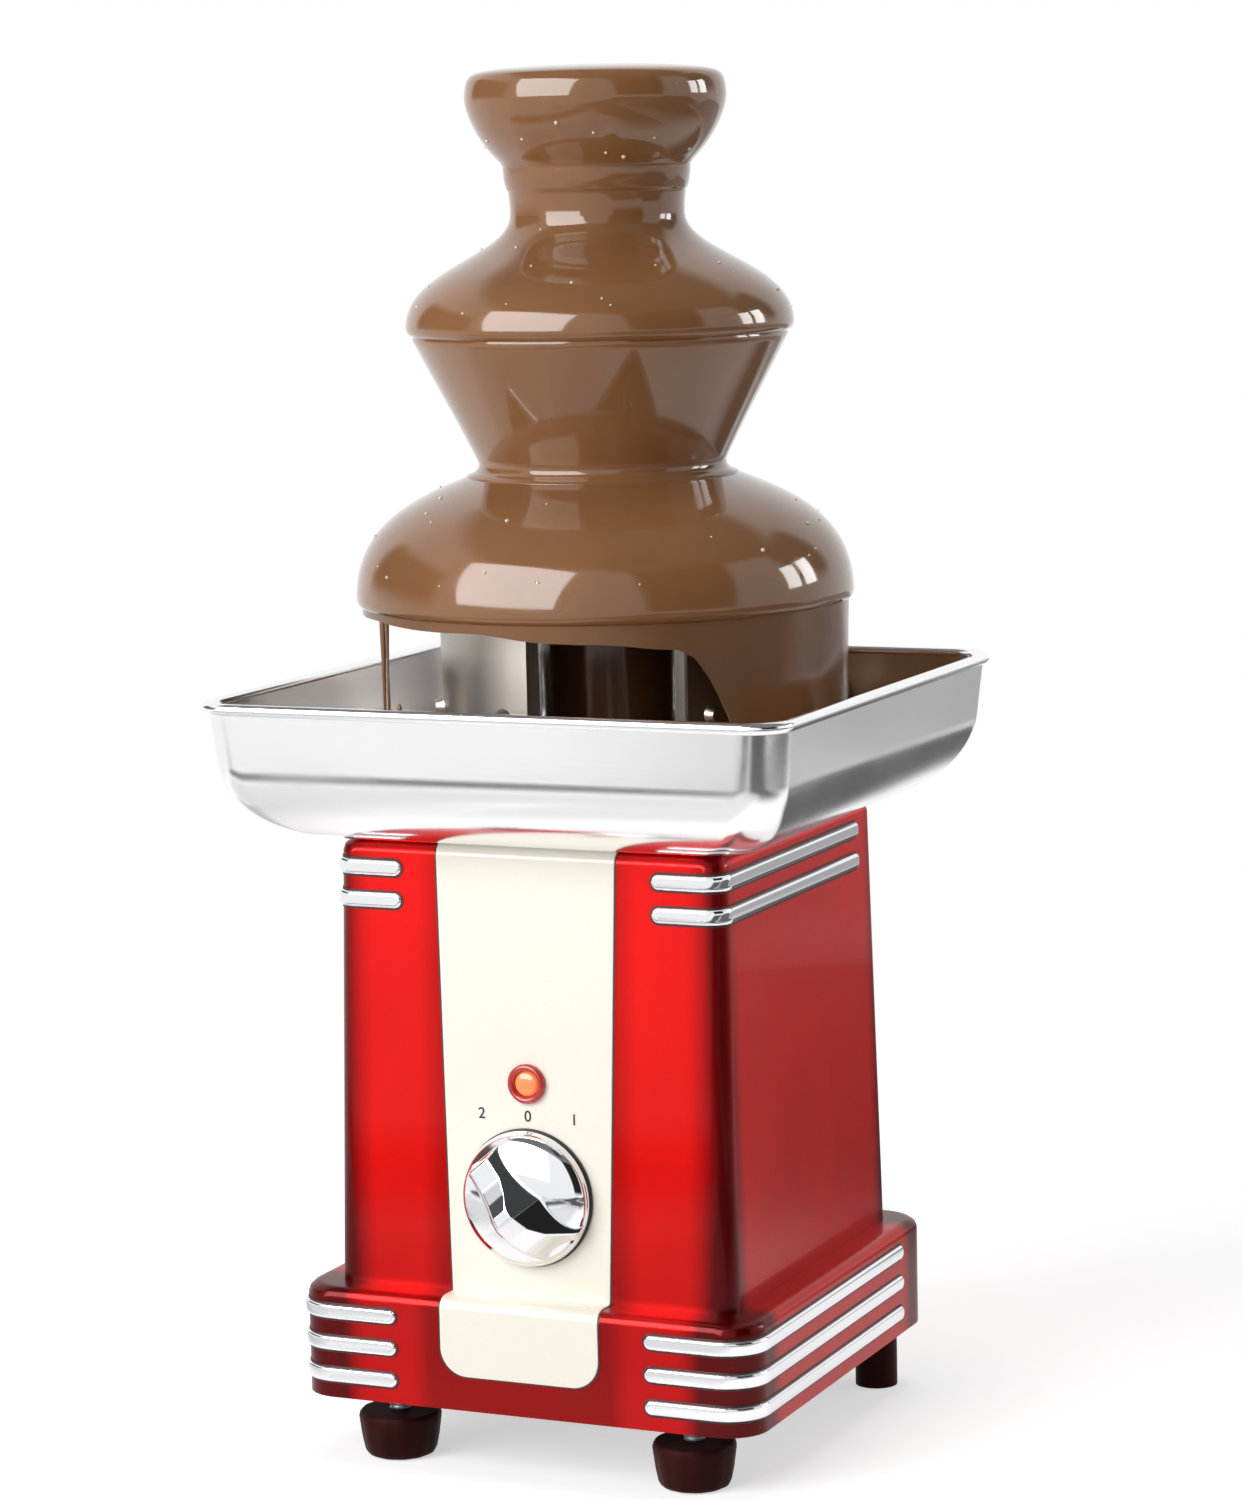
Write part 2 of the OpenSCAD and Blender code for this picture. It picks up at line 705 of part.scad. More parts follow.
module switch_nut() {
    color("silver") on_front(z_knob) translate([0, 0, panel_proud]) difference() {
        hex(switch_nut_across, switch_nut_h);
        translate([0, 0, -overcut]) cylinder(r = switch_neck_r + fit_gap, h = switch_nut_h + 2 * overcut);
    }
}

function grip_edge(side) = [for (k = [-6 : 6])
    let (t = k / 6) [1.6 * sin(180 * t) + side * (4.6 - 1.4 * t), t * (knob_d / 2 - 0.6)]];

module knob() {
    r = knob_d / 2;
    color("gainsboro") on_front(z_knob) rotate([0, 0, knob_turn]) difference() {
        union() {
            translate([0, 0, knob_base]) rotate_extrude() polygon(concat([[0, 0], [r, 0], [r, 1.6]],
                bezier([r - 0.6, 2.4], [r - 2.5, 6], [r - 7, knob_dome_h], [r - 14, knob_dome_h]),
                [[0, knob_dome_h]]));
            intersection() {
                translate([0, 0, knob_base + 1]) linear_extrude(knob_h)
                    polygon(concat(grip_edge(-1), reversed(grip_edge(1))));
                translate([-r, 0, knob_base + knob_h - 1.6 * r]) rotate([0, 90, 0])
                    cylinder(r = 1.6 * r, h = 2 * r, $fn = 96);
                cylinder(r = r - 0.3, h = knob_base + knob_h);
            }
        }
        cylinder(r = switch_shaft_d / 2, h = knob_base + 11);
        cylinder(r = switch_nut_across / 2 / cos(30) + 1, h = panel_proud + switch_neck_h);
    }
}

module lamp_bezel() {
    r = lamp_d / 2;
    color("crimson") on_front(z_lamp) difference() {
        union() {
            translate([0, 0, panel_proud]) rotate_extrude() polygon(concat([[0, 0], [r, 0]],
                bezier([r, 0.6], [r, 1.6], [r - 0.5, 2.2], [r - 1.2, 2.2]), [[0, 2.2]]));
            translate([0, 0, -wall - lamp_neck_h + 3])
                cylinder(r = lamp_neck_r, h = lamp_neck_h + wall - 2);
        }
        translate([0, 0, -lamp_neck_h - 2 * wall]) cylinder(d = lamp_window_d, h = lamp_neck_h + 4 * wall);
    }
}

module lamp_window() {
    r = lamp_window_d / 2 - fit_gap;
    color("orange") on_front(z_lamp) difference() {
        rotate_extrude() polygon(concat([[0, -4], [r, -4]],
            bezier([r, panel_proud + 1.2], [r, 2.2], [r - 1.2, 3.2], [0, 3.4])));
        translate([0, 0, -4 - overcut]) cylinder(r = r - 1, h = 4 + overcut);
    }
}

module lamp_bulb() {
    r = lamp_window_d / 2 - fit_gap;
    color("wheat") on_front(z_lamp) rotate_extrude() polygon([[0, -wall - lamp_neck_h + 3],
        [r, -wall - lamp_neck_h + 3], [r, -4 - part_gap], [r - 1 - part_gap, -4 - part_gap],
        [r - 1 - part_gap, -2], [r - 2, -1], [0, -0.8]]);
}

module lamp_nut() {
    color("silver") on_front(z_lamp) translate([0, 0, -wall - 3]) difference() {
        hex(2 * lamp_neck_r + 4, 3);
        translate([0, 0, -overcut]) cylinder(r = lamp_neck_r + fit_gap, h = 3 + 2 * overcut);
    }
}

// Mains entry at the back of the plinth
gland_neck_r = 6.4;
gland_flange_r = 9;
gland_bore_r = 3.6;
gland_recess = 2;
z_gland = ground_gap + plinth_h / 2;

module cord_gland() {
    color("black") translate([0, plinth_half, z_gland]) rotate([-90, 0, 0]) difference() {
        union() {
            cylinder(r1 = gland_flange_r, r2 = gland_flange_r - 1.5, h = 3);
            translate([0, 0, -wall - 4]) cylinder(r = gland_neck_r, h = wall + 4 + overcut);
            translate([0, 0, -wall - 4]) cylinder(r = gland_flange_r - 0.5, h = 4);
        }
        translate([0, 0, 3 - gland_recess]) cylinder(r = gland_bore_r, h = gland_recess + overcut);
    }
}

module terminal_block() {
    color("whitesmoke") translate([-30, 30, z_plate]) difference() {
        cube([30, 12, 12]);
        for (k = [0 : 2]) translate([5 + 10 * k, 6, 4]) cylinder(r = 2, h = 9);
        for (k = [0 : 2]) translate([5 + 10 * k, -overcut, 6]) rotate([-90, 0, 0]) cylinder(r = 1.6, h = 14);
    }
}

// Bowl: a pressed square pan with leaning walls, a large floor radius and a rolled rim
bowl_stud_r = 2;
bowl_stud_reach = heater_d / 2 + 6;
bowl_stud_turn = 30;
seal_hole_r = shaft_r + 3.5;
bowl_wall_half = bowl_w / 2 - rim_d * 0.42;

function bowl_half(z, o) = bowl_wall_half - o - (z_rim - rim_d / 2 - z) * tan(bowl_lean);

module bowl_form(o, z_end) {
    r = bowl_fillet - o;
    zc = z_bowl + bowl_fillet;
    half = bowl_half(zc, o) - r * (1 / cos(bowl_lean) - 1) - r;
    corner = bowl_corner - rim_d * 0.42 - o;
    hull() {
        for (a = [90, 75, 60, 45, 30, 15, bowl_lean])
            slice(2 * (half + r * cos(a)), corner, zc - r * sin(a));
        slice(2 * bowl_half(z_end, o), corner, z_end - slice_h);
    }
}

module bowl_stud_places() {
    for (a = [0 : 90 : 270]) rotate([0, 0, a + bowl_stud_turn])
        translate([bowl_stud_reach, 0, 0]) children();
}

module rolled_rim() {
    half = bowl_w / 2 - rim_d / 2;
    corner = bowl_corner - rim_d / 2;
    inner = half - corner;
    translate([0, 0, z_rim - rim_d / 2]) for (a = [0 : 90 : 270]) rotate([0, 0, a]) {
        translate([half, inner, 0]) rotate([90, 0, 0]) cylinder(d = rim_d, h = 2 * inner);
        translate([inner, inner, 0]) rotate_extrude(angle = 90) translate([corner, 0]) circle(d = rim_d);
    }
}

module bowl() {
    color("lightgray") difference() {
        union() {
            difference() {
                bowl_form(0, z_rim - rim_d / 2);
                bowl_form(bowl_t, z_rim + overcut);
            }
            rolled_rim();
        }
        translate([0, 0, z_bowl - overcut]) cylinder(r = seal_hole_r, h = bowl_t + 2 * overcut);
    }
}

module bowl_gasket() {
    color("gray") difference() {
        translate([0, 0, z_top]) cylinder(r = bowl_stud_reach + 4, h = gasket_t);
        translate([0, 0, z_top - overcut]) cylinder(d = heater_d + 4, h = gasket_t + 2 * overcut);
        bowl_stud_places() translate([0, 0, z_top - overcut])
            cylinder(r = bowl_stud_r + part_gap, h = gasket_t + 2 * overcut);
    }
}

module bowl_studs() {
    color("silver") bowl_stud_places() translate([0, 0, z_deck - 6])
        cylinder(r = bowl_stud_r, h = z_bowl - z_deck + 6);
}

module bowl_nuts() {
    color("silver") bowl_stud_places() translate([0, 0, z_deck - 3]) difference() {
        hex(7, 3);
        translate([0, 0, -overcut]) cylinder(r = bowl_stud_r + fit_gap, h = 3 + 2 * overcut);
    }
}

module shaft_seal() {
    flange_r = seal_hole_r + 2;
    color("tomato") difference() {
        union() {
            translate([0, 0, z_bowl - 1.4]) cylinder(r = flange_r, h = 1.4);
            translate([0, 0, z_bowl - 1]) cylinder(r = seal_hole_r - fit_gap, h = bowl_t + 2);
            translate([0, 0, z_floor]) cylinder(r1 = flange_r, r2 = flange_r - 1.5, h = 2.4);
        }
        translate([0, 0, z_bowl - 2]) cylinder(r = bush_r, h = 8);
    }
}

// Heater under the bowl
z_heater = z_top - heater_t;
z_element = z_heater - element_d / 2;

module heater_plate() {
    color("lightgray") pipe(heater_d / 2, seal_hole_r + 5, z_heater, z_bowl);
}

module heating_element() {
    ring_r = element_ring_d / 2;
    color("dimgray") union() {
        translate([0, 0, z_element]) rotate([0, 0, -75]) rotate_extrude(angle = 330)
            translate([ring_r, 0]) circle(d = element_d);
        for (a = [-75, 255]) rotate([0, 0, a]) translate([ring_r, 0, z_element - 9])
            cylinder(d = element_d - 1, h = 9);
    }
}

module thermostat() {
    reach = seal_hole_r + 5 + thermostat_d / 2;
    color("whitesmoke") translate([0, reach, z_heater - 6]) union() {
        cylinder(d = thermostat_d, h = 6);
        for (s = [-1, 1]) translate([s * 3.5 - 1.5, -0.4, -6]) cube([3, 0.8, 6 + overcut]);
    }
}

module thermal_fuse() {
    color("wheat") translate([0, -seal_hole_r - 9, z_heater - 2]) rotate([0, 90, 0]) union() {
        cylinder(r = 2, h = 12, center = true);
        cylinder(r = 0.6, h = 24, center = true);
    }
}

// Motor bracket, gear case and gear train
bracket_edge = 7;
bracket_w = 2 * (bracket_post_xy + bracket_edge);
case_w = bracket_w - 2;
case_screw_xy = bracket_post_xy;

function tooth_point(r, half, side, turn) = r * [cos(turn + side * half / r * 180 / PI),
    sin(turn + side * half / r * 180 / PI)];

function gear_points(teeth) =
    let (pitch_r = teeth * gear_m / 2, up = 0.9 * gear_m, down = 1.15 * gear_m,
        half = PI * gear_m / 4 - gear_play / 2, slope = tan(20))
    [for (k = [0 : teeth - 1], step = [[-1, -1], [-1, 0], [-1, 1], [1, 1], [1, 0], [1, -1]])
        let (rise = step[1] < 0 ? -down : step[1] * up)
        tooth_point(pitch_r + rise, half - rise * slope, step[0], 360 * k / teeth)];

module gear_disc(teeth, h, bore_r) {
    linear_extrude(h) difference() {
        polygon(gear_points(teeth));
        circle(r = bore_r);
    }
}

module motor_bracket() {
    color("silver") difference() {
        rounded_prism(bracket_w, 6, z_bracket - bracket_t, z_bracket);
        translate([0, 0, z_bracket - bracket_t - overcut])
            cylinder(r = bush_r + bush_wall + fit_gap, h = bracket_t + 2 * overcut);
        translate([idler_xy.x, idler_xy.y, z_bracket - bracket_t - overcut])
            cylinder(r = idler_pin_r + fit_gap, h = bracket_t + 2 * overcut);
        corners(bracket_post_xy, bracket_post_xy) translate([0, 0, z_bracket - bracket_t - overcut])
            cylinder(r = screw_r + fit_gap, h = bracket_t + 2 * overcut);
    }
}

module bracket_screws() {
    length = 10 + bracket_t + gear_room + case_t - 2;
    color("silver") corners(bracket_post_xy, bracket_post_xy) screw_up(z_case - case_t, length);
}

module gear_case() {
    color("white") difference() {
        union() {
            rounded_prism(case_w, 6, z_case - case_t, z_bracket - bracket_t);
            translate([rotor_xy.x, rotor_xy.y, z_stack + stack_h]) for (s = [-1, 1])
                translate([s * motor_post_x, 0, 0]) cylinder(r = motor_post_r, h = stack_drop + overcut);
        }
        difference() {
            rounded_prism(case_w - 4, 4, z_case, z_bracket);
            corners(bracket_post_xy, bracket_post_xy)
                translate([0, 0, z_case - overcut]) cylinder(r = case_post_r, h = gear_room + 2 * overcut);
        }
        corners(bracket_post_xy, bracket_post_xy) translate([0, 0, z_case - case_t - overcut])
            cylinder(r = screw_r + fit_gap, h = gear_room + case_t + 2 * overcut);
        translate([0, 0, z_case - case_t - overcut])
            cylinder(r = bush_r + bush_wall + fit_gap, h = case_t + 2 * overcut);
        translate([rotor_xy.x, rotor_xy.y, z_case - case_t - overcut])
            cylinder(r = motor_shaft_d / 2 + fit_gap, h = case_t + 2 * overcut);
        translate([rotor_xy.x, rotor_xy.y, z_stack]) for (s = [-1, 1]) translate([s * motor_post_x, 0, 0])
            cylinder(r = screw_r + fit_gap, h = stack_h + stack_drop);
        translate([idler_xy.x, idler_xy.y, z_case - case_t])
            cylinder(r = idler_pin_r + fit_gap, h = case_t + overcut);
    }
}

module shaft_bush(z, below, above) {
    translate([0, 0, z]) difference() {
        union() {
            translate([0, 0, -below]) cylinder(r = bush_r + bush_wall, h = below + above);
            cylinder(r = bush_r + bush_wall + 2, h = above);
        }
        translate([0, 0, -below - overcut]) cylinder(r = bush_r, h = below + above + 2 * overcut);
    }
}

module shaft_bushes() {
    color("peru") union() {
        shaft_bush(z_case, case_t, 2);
        shaft_bush(z_bracket, bracket_t, 6);
    }
}

module drive_shaft() {
    color("silver") difference() {
        translate([0, 0, z_case - case_t - shaft_tail])
            cylinder(r = shaft_r, h = z_floor + shaft_rise - z_case + case_t + shaft_tail);
        translate([0, 0, z_pin]) rotate([0, 90, 0])
            cylinder(r = pin_r + fit_gap, h = shaft_d + 2, center = true);
    }
}

pin_r = 1.5;
z_pin = z_floor + screw_foot + 8;

module drive_pin() {
    color("silver") translate([0, 0, z_pin]) rotate([0, 90, 0])
        cylinder(r = pin_r, h = screw_core_d - 1, center = true);
}

module output_gear() {
    color("ivory") rotate([0, 0, idler_turn]) union() {
        translate([0, 0, z_output_gear]) gear_disc(output_teeth, output_gear_t, shaft_r);
        pipe(shaft_r + 3, shaft_r, z_case + 2 + part_gap, z_output_gear + output_gear_t + 2);
    }
}

module idler_gear() {
    pinion_turn = idler_turn + 180 + 180 / idler_pinion_teeth;
    color("ivory") translate([idler_xy.x, idler_xy.y, 0]) union() {
        translate([0, 0, z_idler_wheel]) rotate([0, 0, rotor_turn])
            gear_disc(idler_wheel_teeth, idler_wheel_t, idler_pin_r - overcut);
        translate([0, 0, z_idler_wheel + idler_wheel_t - slice_h]) rotate([0, 0, pinion_turn])
            gear_disc(idler_pinion_teeth, output_gear_t + 3, idler_pin_r - overcut);
        translate([0, 0, z_case - case_t + part_gap])
            cylinder(r = idler_pin_r, h = gear_room + bracket_t + case_t - 2 * part_gap);
    }
}

// Shaded-pole motor that hangs under the gear case
coil_w = 28;
coil_wrap = 7;
bar_depth = 12;
stack_w = 56;
stack_back = 16;
window_depth = 13;
stack_front = rotor_d / 2 + 4 + window_depth + bar_depth;

module at_rotor(z) {
    translate([rotor_xy.x, rotor_xy.y, z]) children();
}

module motor_stator() {
    color("slategray") at_rotor(z_stack) difference() {
        translate([-stack_w / 2, -stack_front, 0]) cube([stack_w, stack_front + stack_back, stack_h]);
        translate([0, 0, -overcut]) cylinder(r = rotor_d / 2 + air_gap, h = stack_h + 2 * overcut);
        translate([-coil_w / 2 - 2, -stack_front + bar_depth, -overcut])
            cube([coil_w + 4, window_depth, stack_h + 2 * overcut]);
        for (s = [-1, 1]) translate([s * motor_post_x, 0, -overcut])
            cylinder(r = screw_r + fit_gap, h = stack_h + 2 * overcut);
    }
}

module motor_coil() {
    color("chocolate") at_rotor(z_stack) difference() {
        translate([-coil_w / 2, -stack_front - coil_wrap, -coil_wrap])
            cube([coil_w, bar_depth + 2 * coil_wrap, stack_h + 2 * coil_wrap]);
        translate([-coil_w / 2 - overcut, -stack_front, 0]) cube([coil_w + 2 * overcut, bar_depth, stack_h]);
    }
}

module motor_rotor() {
    pinion_turn = rotor_turn + 180 + 180 / motor_pinion_teeth;
    color("silver") at_rotor(0) union() {
        translate([0, 0, z_stack]) cylinder(d = rotor_d, h = stack_h);
        translate([0, 0, z_bridge - 14]) cylinder(d = motor_shaft_d, h = z_idler_wheel - z_bridge + 14 + 2);
        translate([0, 0, z_idler_wheel - 0.5]) rotate([0, 0, pinion_turn])
            gear_disc(motor_pinion_teeth, idler_wheel_t + 1, motor_shaft_d / 2 - overcut);
    }
}

module motor_bridge() {
    color("silver") at_rotor(z_bridge) difference() {
        union() {
            translate([-motor_post_x - 5, -7, 0]) cube([2 * motor_post_x + 10, 14, bridge_t]);
            for (s = [-1, 1]) translate([s * motor_post_x, 0, 0])
                cylinder(r = motor_post_r, h = bridge_t + bridge_drop);
            cylinder(r = motor_shaft_d / 2 + 3, h = bridge_t + 3);
        }
        translate([0, 0, -overcut])
            cylinder(r = motor_shaft_d / 2 + fit_gap, h = bridge_t + 3 + 2 * overcut);
        for (s = [-1, 1]) translate([s * motor_post_x, 0, -overcut])
            cylinder(r = screw_r + fit_gap, h = bridge_t + bridge_drop + 2 * overcut);
    }
}

module motor_screws() {
    length = bridge_t + bridge_drop + stack_h + stack_drop - 2;
    color("silver") at_rotor(0) for (s = [-1, 1])
        translate([s * motor_post_x, 0, 0]) screw_up(z_bridge, length);
}

module cooling_fan() {
    color("dimgray") at_rotor(z_bridge - 12) difference() {
        union() {
            cylinder(r = motor_shaft_d / 2 + 3, h = 10);
            cylinder(d = fan_d, h = 1.2);
            for (a = [0 : 45 : 315]) rotate([0, 0, a])
                translate([motor_shaft_d / 2 + 2, -0.6, 0]) cube([fan_d / 2 - motor_shaft_d / 2 - 3, 1.2, 9]);
        }
        translate([0, 0, -overcut]) cylinder(r = motor_shaft_d / 2, h = 10 + 2 * overcut);
    }
}

// Lifting screw: one flight round a core, driven by the cross pin in the shaft
module lifting_screw() {
    turns = screw_h / screw_pitch;
    sector = 360 * flight_t / screw_pitch;
    slot_h = z_pin - z_floor - screw_foot + pin_r + seat_gap;
    arc = [for (k = [0 : 2]) screw_r_outer * [cos(sector * k / 2), sin(sector * k / 2)]];
    color("whitesmoke") translate([0, 0, z_floor + screw_foot]) difference() {
        linear_extrude(screw_h, twist = 360 * turns, slices = ceil(10 * turns), $fn = 12) union() {
            circle(d = screw_core_d);
            polygon(concat([[0, 0]], arc));
        }
        translate([0, 0, -overcut])
            cylinder(r = shaft_r + fit_gap, h = shaft_rise - screw_foot + 2 * overcut);
        translate([-screw_core_d, -pin_r - seat_gap, -overcut])
            cube([2 * screw_core_d, 2 * pin_r + 2 * seat_gap, slot_h + overcut]);
    }
}

// Tower: a drum with windows, a tube round the screw, two tiers and a crown
module window_turns() {
    for (k = [0 : 2]) rotate([0, 0, window_turn - 90 + 120 * k]) children();
}

module tower_drum() {
    color("lightgray") union() {
        difference() {
            pipe(drum_r, drum_r - tower_t, z_drum, z_drum_top);
            window_turns() wedge_ring(drum_r - 3 * tower_t, drum_r + tower_t,
                -window_angle / 2, window_angle / 2, z_drum - overcut, z_drum + window_h);
        }
        pipe(drum_r - tower_t / 2, tube_r - tower_t / 2, z_drum_top - tower_t, z_drum_top);
        difference() {
            pipe(tube_r, tube_bore_r, z_drum + 3, z_tube_top);
            for (a = [45, 135]) rotate([0, 0, a]) translate([0, 0, z_drum + 3])
                cube([2 * tube_d, 14, 36], center = true);
        }
        window_turns() for (s = [-1, 1]) rotate([0, 0, 60 + s * (leg_angle / 2 - 10)])
            translate([drum_r - tower_t / 2, 0, rivet_z]) rotate([0, 90, 0])
                cylinder(r1 = 3.4, r2 = 1.8, h = tower_t / 2 + 2.2);
    }
}

module lower_tier() {
    color("lightgray") rotate_extrude() polygon(concat(
        [[sleeve_bore_r, z_drum_top], [sleeve_bore_r, z_collar], [sleeve_r, z_collar],
            [sleeve_r, lower_steel[0].y]],
        lower_steel, reversed(lower_under),
        [[sleeve_r, lower_under[0].y], [sleeve_r, z_drum_top]]));
}

module upper_tier() {
    color("lightgray") rotate_extrude() polygon(concat(
        [[sleeve_bore_r, z_collar], [sleeve_bore_r, z_sleeve_top], [sleeve_r, z_sleeve_top]],
        upper_steel, reversed(upper_under),
        [[sleeve_r, upper_under[1].y], [sleeve_r, z_collar]]));
}

module crown() {
    color("lightgray") rotate_extrude() polygon(concat(
        crown_steel, [[sleeve_r, z_crown_base - 3], [sleeve_r, z_sleeve_top], [sleeve_bore_r, z_sleeve_top],
        [sleeve_bore_r, z_tube_top]], reversed(crown_inside)));
}

// Chocolate on the tower, in the crown and in the bowl
module chocolate_crown() {
    swell = 1.6;
    color("saddlebrown") rotate_extrude() polygon(concat(
        [[0, z_tube_top], [0, z_crown + swell]],
        bezier([crown_rim_r - 6, z_crown + swell], [crown_rim_r - 2, z_crown + swell],
            [crown_rim_r, z_crown + swell - 0.2], [crown_rim_r, z_crown]),
        crown_curve, neck_curve, [upper_steel[0], [sleeve_r, z_sleeve_top], [sleeve_r, z_crown_base - 3]],
        reversed(crown_steel), crown_inside, [[sleeve_bore_r, z_tube_top]]));
}

module chocolate_upper() {
    inner = inset(sheet_curve, sheet_t);
    color("saddlebrown") rotate_extrude() polygon(concat(
        upper_curve, sheet_curve, [lower_steel[0], [lower_steel[0].x - sheet_t, lower_steel[0].y]],
        [for (k = [len(inner) - 2 : -1 : 0]) inner[k]],
        [[upper_under[len(upper_under) - 1].x, z_upper_rim - 3.2]],
        reversed([upper_under[len(upper_under) - 1]]), reversed(upper_steel)));
}

module chocolate_lower() {
    rim = lower_under[len(lower_under) - 1];
    fringe_z = z_lower_rim - 7;
    sheet_r = lower_rim_r - 1.2;
    strand_r = sheet_t / 2;
    color("saddlebrown") union() {
        rotate_extrude() polygon(concat(lower_curve,
            bezier([lower_rim_r, z_lower_rim - 2], [lower_rim_r - 0.2, z_lower_rim - 4.5],
                [lower_rim_r - 1.2, z_lower_rim - 5], [lower_rim_r - 1.2, fringe_z]),
            [[rim.x - 0.4, fringe_z], rim], reversed(lower_steel)));
        wedge_ring(sheet_r - sheet_t, sheet_r - part_gap, curtain_from - 90, curtain_to - 90,
            z_pool + part_gap, fringe_z + overcut);
        for (a = strand_turns) rotate([0, 0, a - 90])
            translate([sheet_r - strand_r - part_gap, 0, z_pool + part_gap])
            cylinder(r1 = 0.8 * strand_r, r2 = strand_r, h = fringe_z + overcut - z_pool - part_gap);
    }
}

// Strands of chocolate at the left, from the front towards the right
strand_turns = [-42, -34, 200];

module chocolate_pool() {
    leg_gap = 0.5;
    color("saddlebrown") difference() {
        intersection() {
            bowl_form(bowl_t + seat_gap, z_rim);
            translate([-bowl_w / 2, -bowl_w / 2, z_bowl]) cube([bowl_w, bowl_w, z_pool - z_bowl]);
        }
        translate([0, 0, z_bowl]) cylinder(r = tube_r + leg_gap, h = pool_depth + 2 * overcut + bowl_t);
        window_turns() rotate([0, 0, 60]) wedge_ring(drum_r - tower_t - leg_gap, drum_r + leg_gap,
            -leg_angle / 2 - 1, leg_angle / 2 + 1, z_bowl, z_pool + overcut);
    }
}

plinth();
body_shell();
front_panel();
bottom_plate();
bottom_plate_screws();
body_screws();
upper_bars(-1);  // upper_bars_left
upper_bars(1);  // upper_bars_right
lower_bars(-1);  // lower_bars_left
lower_bars(1);  // lower_bars_right
front_foot(-1);  // front_foot_left
front_foot(1);  // front_foot_right
foot_stud(-1);  // foot_stud_left
foot_stud(1);  // foot_stud_right
foot_nuts();
rear_feet();
rear_foot_screws();
knob();
switch_shaft();
switch_housing();
switch_nut();
lamp_bezel();
lamp_window();
lamp_bulb();
lamp_nut();
cord_gland();
terminal_block();
bowl();
bowl_gasket();
bowl_studs();
bowl_nuts();
shaft_seal();
heater_plate();
heating_element();
thermostat();
thermal_fuse();
motor_bracket();
bracket_screws();
gear_case();
shaft_bushes();
drive_shaft();
drive_pin();
output_gear();
idler_gear();
motor_stator();
motor_coil();
motor_rotor();
motor_bridge();
motor_screws();
cooling_fan();
lifting_screw();
tower_drum();
lower_tier();
upper_tier();
crown();
chocolate_crown();
chocolate_upper();
chocolate_lower();
chocolate_pool();
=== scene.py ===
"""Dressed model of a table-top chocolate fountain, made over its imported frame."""

import json
import logging
import random
from collections.abc import Callable, Sequence
from dataclasses import dataclass
from enum import Enum
from math import atan2, copysign, cos, degrees, hypot, pi, radians, sin, tan, tanh

import bmesh
import bpy
from mathutils import Matrix, Vector, noise


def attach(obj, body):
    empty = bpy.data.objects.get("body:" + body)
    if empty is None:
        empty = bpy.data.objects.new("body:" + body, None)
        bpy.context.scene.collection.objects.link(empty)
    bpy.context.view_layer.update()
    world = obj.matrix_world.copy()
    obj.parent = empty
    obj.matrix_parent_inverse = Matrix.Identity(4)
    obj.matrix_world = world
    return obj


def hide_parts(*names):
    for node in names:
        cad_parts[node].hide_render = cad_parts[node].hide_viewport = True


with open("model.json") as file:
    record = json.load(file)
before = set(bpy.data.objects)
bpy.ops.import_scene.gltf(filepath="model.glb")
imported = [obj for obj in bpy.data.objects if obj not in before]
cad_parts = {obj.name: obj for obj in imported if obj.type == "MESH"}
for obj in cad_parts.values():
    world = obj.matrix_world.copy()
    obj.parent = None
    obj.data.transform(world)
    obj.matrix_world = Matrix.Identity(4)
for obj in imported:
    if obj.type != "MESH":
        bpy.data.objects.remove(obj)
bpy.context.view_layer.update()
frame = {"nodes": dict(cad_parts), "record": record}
LOG = logging.getLogger("fountain")
MM = 0.001
PROFILE_WELD, TURN_WELD, COPY_WELD = 1e-7, 2e-6, 1e-6
FLAT_ANGLE, BEVEL_ANGLE = 0.8, 45
Point = tuple[float, float]
Triple = tuple[float, float, float]
Piece = bpy.types.Object
Material = bpy.types.Material


class Body(Enum):
    """Moving bodies of the frame."""

    HOUSING = "housing"
    KNOB = "knob"
    TOWER = "tower"
    FOOT_LEFT = "foot_left"
    FOOT_RIGHT = "foot_right"


class Primitive(Enum):
    """Starting shapes that the pieces are modelled from."""

    PLANE = "primitive_plane_add"
    BALL = "primitive_ico_sphere_add"


# Shading

class Wire:
    """A shader socket that takes part in Python arithmetic."""

    def __init__(self, tree: "Tree", socket: bpy.types.NodeSocket | None) -> None:
        """Keeps the tree and the socket, which an output node doesn't have."""
        self.tree = tree
        self.socket = socket

    def _math(self, operation: str, a: "Wire | float", b: "Wire | float") -> "Wire":
        """Adds one Math node and returns its value."""
        return self.tree.add("ShaderNodeMath", {"operation": operation}, {0: a, 1: b})

    def __add__(self, other: "Wire | float") -> "Wire":
        """Sum."""
        return self._math("ADD", self, other)

    def __sub__(self, other: "Wire | float") -> "Wire":
        """Difference."""
        return self._math("SUBTRACT", self, other)

    def __rsub__(self, other: float) -> "Wire":
        """Difference with a number first."""
        return self._math("SUBTRACT", other, self)

    def __mul__(self, other: "Wire | float") -> "Wire":
        """Product."""
        return self._math("MULTIPLY", self, other)

    __radd__ = __add__
    __rmul__ = __mul__

    def __abs__(self) -> "Wire":
        """Size without its sign."""
        return self.tree.add("ShaderNodeMath", {"operation": "ABSOLUTE"}, {0: self})

    def span(self, low: float, high: float) -> "Wire":
        """Maps low..high to 0..1, clamped and smooth."""
        return self.tree.add("ShaderNodeMapRange", {"interpolation_type": "SMOOTHSTEP"},
                             {0: self, 1: low, 2: high})


